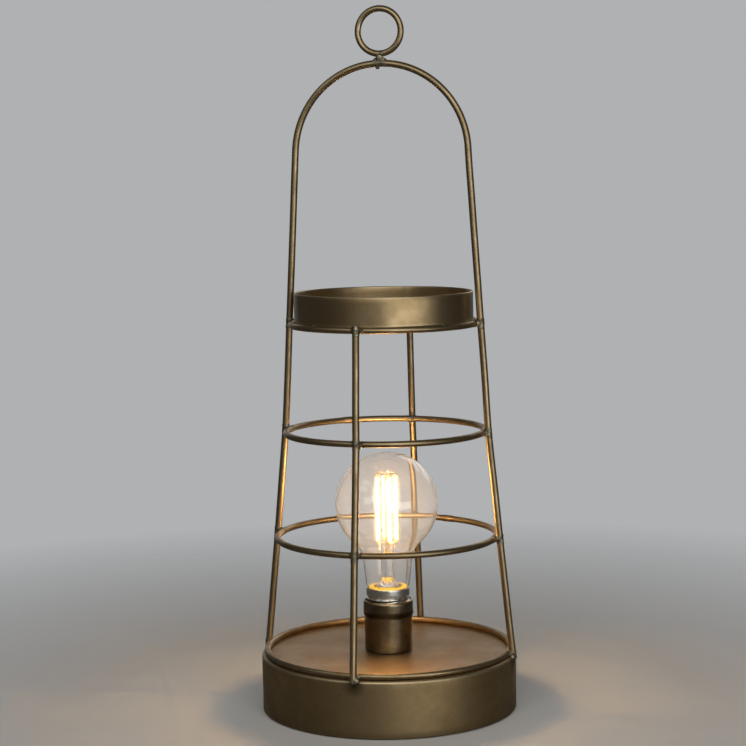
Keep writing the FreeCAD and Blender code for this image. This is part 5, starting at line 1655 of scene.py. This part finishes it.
@dataclass(frozen=True)
class Surround:
    """Pale room: a pale wall behind the lantern, a dimmer room round it, and pale to the eye all round.

    Attributes:
        pale: Colour of the wall, and of all that the eye or a clear glass sees.
        dim: Colour of the rest of the room as light.
        gloss_share: How much of the pale colour the metal mirrors from the rest of the room.
        azimuth: Degrees round the lamp to the wall's middle, as the camera's.
        elevation: Its middle's degrees above the table.
        spread: Degrees from its middle at which the wall starts to fade, and at which it is gone.
    """

    pale: tuple[float, float, float] = (0.43, 0.44, 0.45)
    dim: tuple[float, float, float] = (0.035, 0.035, 0.033)
    gloss_share: float = 0.04
    azimuth: float = 196.0
    elevation: float = 14.0
    spread: tuple[float, float] = (16.0, 40.0)

    def build(self) -> None:
        """Write the world's nodes."""
        world = bpy.data.worlds.new("surround")
        bpy.context.scene.world = world
        world.use_nodes = True
        tree = world.node_tree
        tree.nodes.clear()

        def step(operation: str, *values: Socket | float) -> Socket:
            """One step of arithmetic in the world's nodes."""
            node = tree.nodes.new("ShaderNodeMath")
            node.operation = operation
            for socket, value in zip(node.inputs, values):
                if isinstance(value, bpy.types.NodeSocket):
                    tree.links.new(value, socket)
                else:
                    socket.default_value = value
            return node.outputs[0]

        aim = tree.nodes.new("ShaderNodeVectorMath")
        aim.operation = "DOT_PRODUCT"
        tree.links.new(tree.nodes.new("ShaderNodeTexCoord").outputs["Generated"], aim.inputs[0])
        aim.inputs[1].default_value = direction(self.azimuth, self.elevation)
        wall = tree.nodes.new("ShaderNodeMapRange")
        wall.interpolation_type = "SMOOTHSTEP"
        tree.links.new(aim.outputs["Value"], wall.inputs["Value"])
        wall.inputs["From Min"].default_value = math.cos(math.radians(self.spread[1]))
        wall.inputs["From Max"].default_value = math.cos(math.radians(self.spread[0]))
        light_path = tree.nodes.new("ShaderNodeLightPath").outputs
        seen = step("MAXIMUM", light_path["Is Camera Ray"], light_path["Is Transmission Ray"])
        mirrored = step("MULTIPLY", light_path["Is Glossy Ray"], self.gloss_share)
        share = step("MAXIMUM", step("MAXIMUM", seen, mirrored), wall.outputs["Result"])
        mixed = tree.nodes.new("ShaderNodeMix")
        mixed.data_type = "RGBA"
        tree.links.new(share, mixed.inputs["Factor"])
        mixed.inputs["A"].default_value = (*self.dim, 1)
        mixed.inputs["B"].default_value = (*self.pale, 1)
        background = tree.nodes.new("ShaderNodeBackground")
        tree.links.new(mixed.outputs["Result"], background.inputs["Color"])
        output = tree.nodes.new("ShaderNodeOutputWorld")
        tree.links.new(background.outputs[0], output.inputs["Surface"])


@dataclass(frozen=True)
class Studio:
    """Pale floor that fades into the pale surround, and soft lamps.

    Attributes:
        floor: Colour of the floor as light.
        floor_seen: Colour of the floor to the eye and through glass.
        gloss_share: How much of the paler colour the metal mirrors.
        floor_reach: Radius of the floor.
        fade: Distances at which the floor starts to fade, and at which it is gone.
    """

    floor: tuple[float, float, float] = (0.17, 0.168, 0.164)
    floor_seen: tuple[float, float, float] = (0.88, 0.87, 0.85)
    gloss_share: float = 0.05
    floor_reach: float = 3.0
    fade: tuple[float, float] = (0.2, 0.62)

    def build(self) -> None:
        """Lay the floor, set the surround and hang the lamps."""
        self.lay_floor()
        Surround().build()
        for lamp in (
            SoftLamp("key_lamp", 14.0, 28.0, 1.5, (1.9, 1.0), 9.0),
            SoftLamp("low_lamp", 46.0, -1.0, 1.5, (1.3, 0.4), 4.4),
            SoftLamp("left_lamp", -48.0, 38.0, 1.6, (0.6, 0.6), 1.0),
            SoftLamp("back_lamp", 165.0, 22.0, 1.6, (0.9, 0.8), 1.6),
        ):
            lamp.build()
        bpy.context.scene.view_settings.view_transform = "Standard"

    def lay_floor(self) -> None:
        """A round floor whose edge fades out."""
        clear_selection()
        bpy.ops.mesh.primitive_circle_add(vertices=96, radius=self.floor_reach, fill_type="NGON")
        floor = bpy.context.object
        floor.name = "floor"
        recipe = Recipe("pale_floor")
        away = recipe.near(Vector((0, 0, 0)), self.fade[1])
        share = recipe.levels(away, 0, 1 - self.fade[0] / self.fade[1], 0, 1)
        light_path = recipe.add("ShaderNodeLightPath").outputs
        seen = recipe.sums("MAXIMUM", light_path["Is Camera Ray"], light_path["Is Transmission Ray"])
        mirrored = recipe.sums("MULTIPLY", light_path["Is Glossy Ray"], self.gloss_share)
        base = recipe.blend(recipe.sums("MAXIMUM", seen, mirrored), self.floor, self.floor_seen)
        mottled = recipe.blend(recipe.noise(60 * MM, 4), (0.97, 0.97, 0.97), (1.0, 1.0, 1.0))
        tinted = recipe.add("ShaderNodeMix", data_type="RGBA", blend_type="MULTIPLY")
        recipe.feed(tinted.inputs["Factor"], 1.0)
        recipe.feed(tinted.inputs["A"], base)
        recipe.feed(tinted.inputs["B"], mottled)
        recipe.surface(
            Base_Color=tinted.outputs["Result"], Roughness=0.8, Specular_IOR_Level=0.1, Alpha=share
        )
        floor.data.materials.append(recipe.material)


def main() -> None:
    """Build the studio and every sub-assembly, in order."""
    logging.basicConfig(level=logging.INFO, format="%(message)s")
    Camera().build()
    Studio().build()
    rim_height = NodeBox.of("base_pan").high.z
    reach = NodeBox.of("base_pan").reach
    drum_brass = AgedBrass(
        "drum_lacquer",
        dark=(0.30, 0.212, 0.1),
        light=(0.46, 0.335, 0.175),
        edge_rub_and_highlight=(0.62, 0.5, 0.31),
        gloss=(0.38, 0.54),
        cloud=30 * MM,
        # painted highlight along the drum's shoulder, with rubbed metal
        edges=(rim_height - 0.9 * MM,),
        # painted warm glow of the lit bulb on the drum's top face
        top=(rim_height - 0.6 * MM, (0.37, 0.232, 0.115)),
        weld_dark_patches=(Vector((reach, 0, rim_height - 3 * MM)), Vector((0, reach, rim_height - 3 * MM))),
    ).build()
    wire_brass = AgedBrass(
        "wire_lacquer",
        dark=(0.30, 0.215, 0.11),
        light=(0.46, 0.35, 0.2),
        edge_rub_and_highlight=(0.62, 0.5, 0.31),
        gloss=(0.32, 0.46),
        cloud=14 * MM,
    ).build()
    band_brass = AgedBrass(
        "band_lacquer",
        dark=(0.29, 0.205, 0.1),
        light=(0.45, 0.335, 0.185),
        edge_rub_and_highlight=(0.62, 0.5, 0.31),
        gloss=(0.33, 0.46),
        cloud=24 * MM,
        # painted highlight along the band's and the ring's top edges, with rubbed metal
        edges=(NodeBox.of("crown_band").high.z, NodeBox.of("crown_ring_wire").high.z),
    ).build()
    weld_metal = AgedBrass(
        "weld_lacquer",
        dark=(0.16, 0.135, 0.085),
        light=(0.42, 0.37, 0.25),
        edge_rub_and_highlight=(0.6, 0.5, 0.33),
        gloss=(0.38, 0.55),
        cloud=2.2 * MM,
    ).build()
    bronze = AgedBrass(
        "holder_lacquer",
        dark=(0.15, 0.117, 0.066),
        light=(0.35, 0.277, 0.168),
        edge_rub_and_highlight=(0.75, 0.55, 0.27),
        gloss=(0.26, 0.36),
        cloud=12 * MM,
        # painted highlight along the lip, with rubbed metal
        edges=(NodeBox.of("holder_shell").high.z,),
        # painted shade in the rolled groove
        groove_painted_shade=True,
    ).build()
    rods = NodeBox.of("filaments")
    lead_wire = PlainMetal("lead_wire_metal", (0.55, 0.48, 0.4), (0.35, 0.28, 0.22), (0.25, 0.4)).build()
    lamp = FilamentLamp(
        glass=ClearGlass("globe_glass", (0.99, 0.99, 0.985), veil=(0.013, 0.06)).build(),
        stem_glass=ClearGlass("stem_post_glass", (0.98, 0.985, 0.98), (0.0, 0.08)).build(),
        coat=GlowingCoat(
            "lit_filament_coat",
            body=(0.9, 0.62, 0.12),
            glow=(1.0, 0.6, 0.24),
            edge_glow=(1.0, 0.42, 0.09),
            strength=100.0,
            low=rods.low.z + 1.6 * MM,
            high=rods.high.z - 1.6 * MM,
        ).build(),
        nickel=PlainMetal("cap_plate_nickel", (0.92, 0.89, 0.83), (0.68, 0.63, 0.54), (0.2, 0.4)).build(),
        yellow=DullBody("disc_yellow", (0.86, 0.64, 0.03), (0.74, 0.46, 0.02), (0.3, 0.5)).build(),
    )
    work = HandWork()
    Drum(drum_brass).build()
    WireCage(wire_brass, weld_metal, work).build()
    CrownBand(band_brass, work).build()
    HangingRing(wire_brass, weld_metal, work).build()
    Lampholder(bronze).build()
    lamp.build()
    InnerWorks(lead_wire).build()


if __name__ == "__main__":
    main()
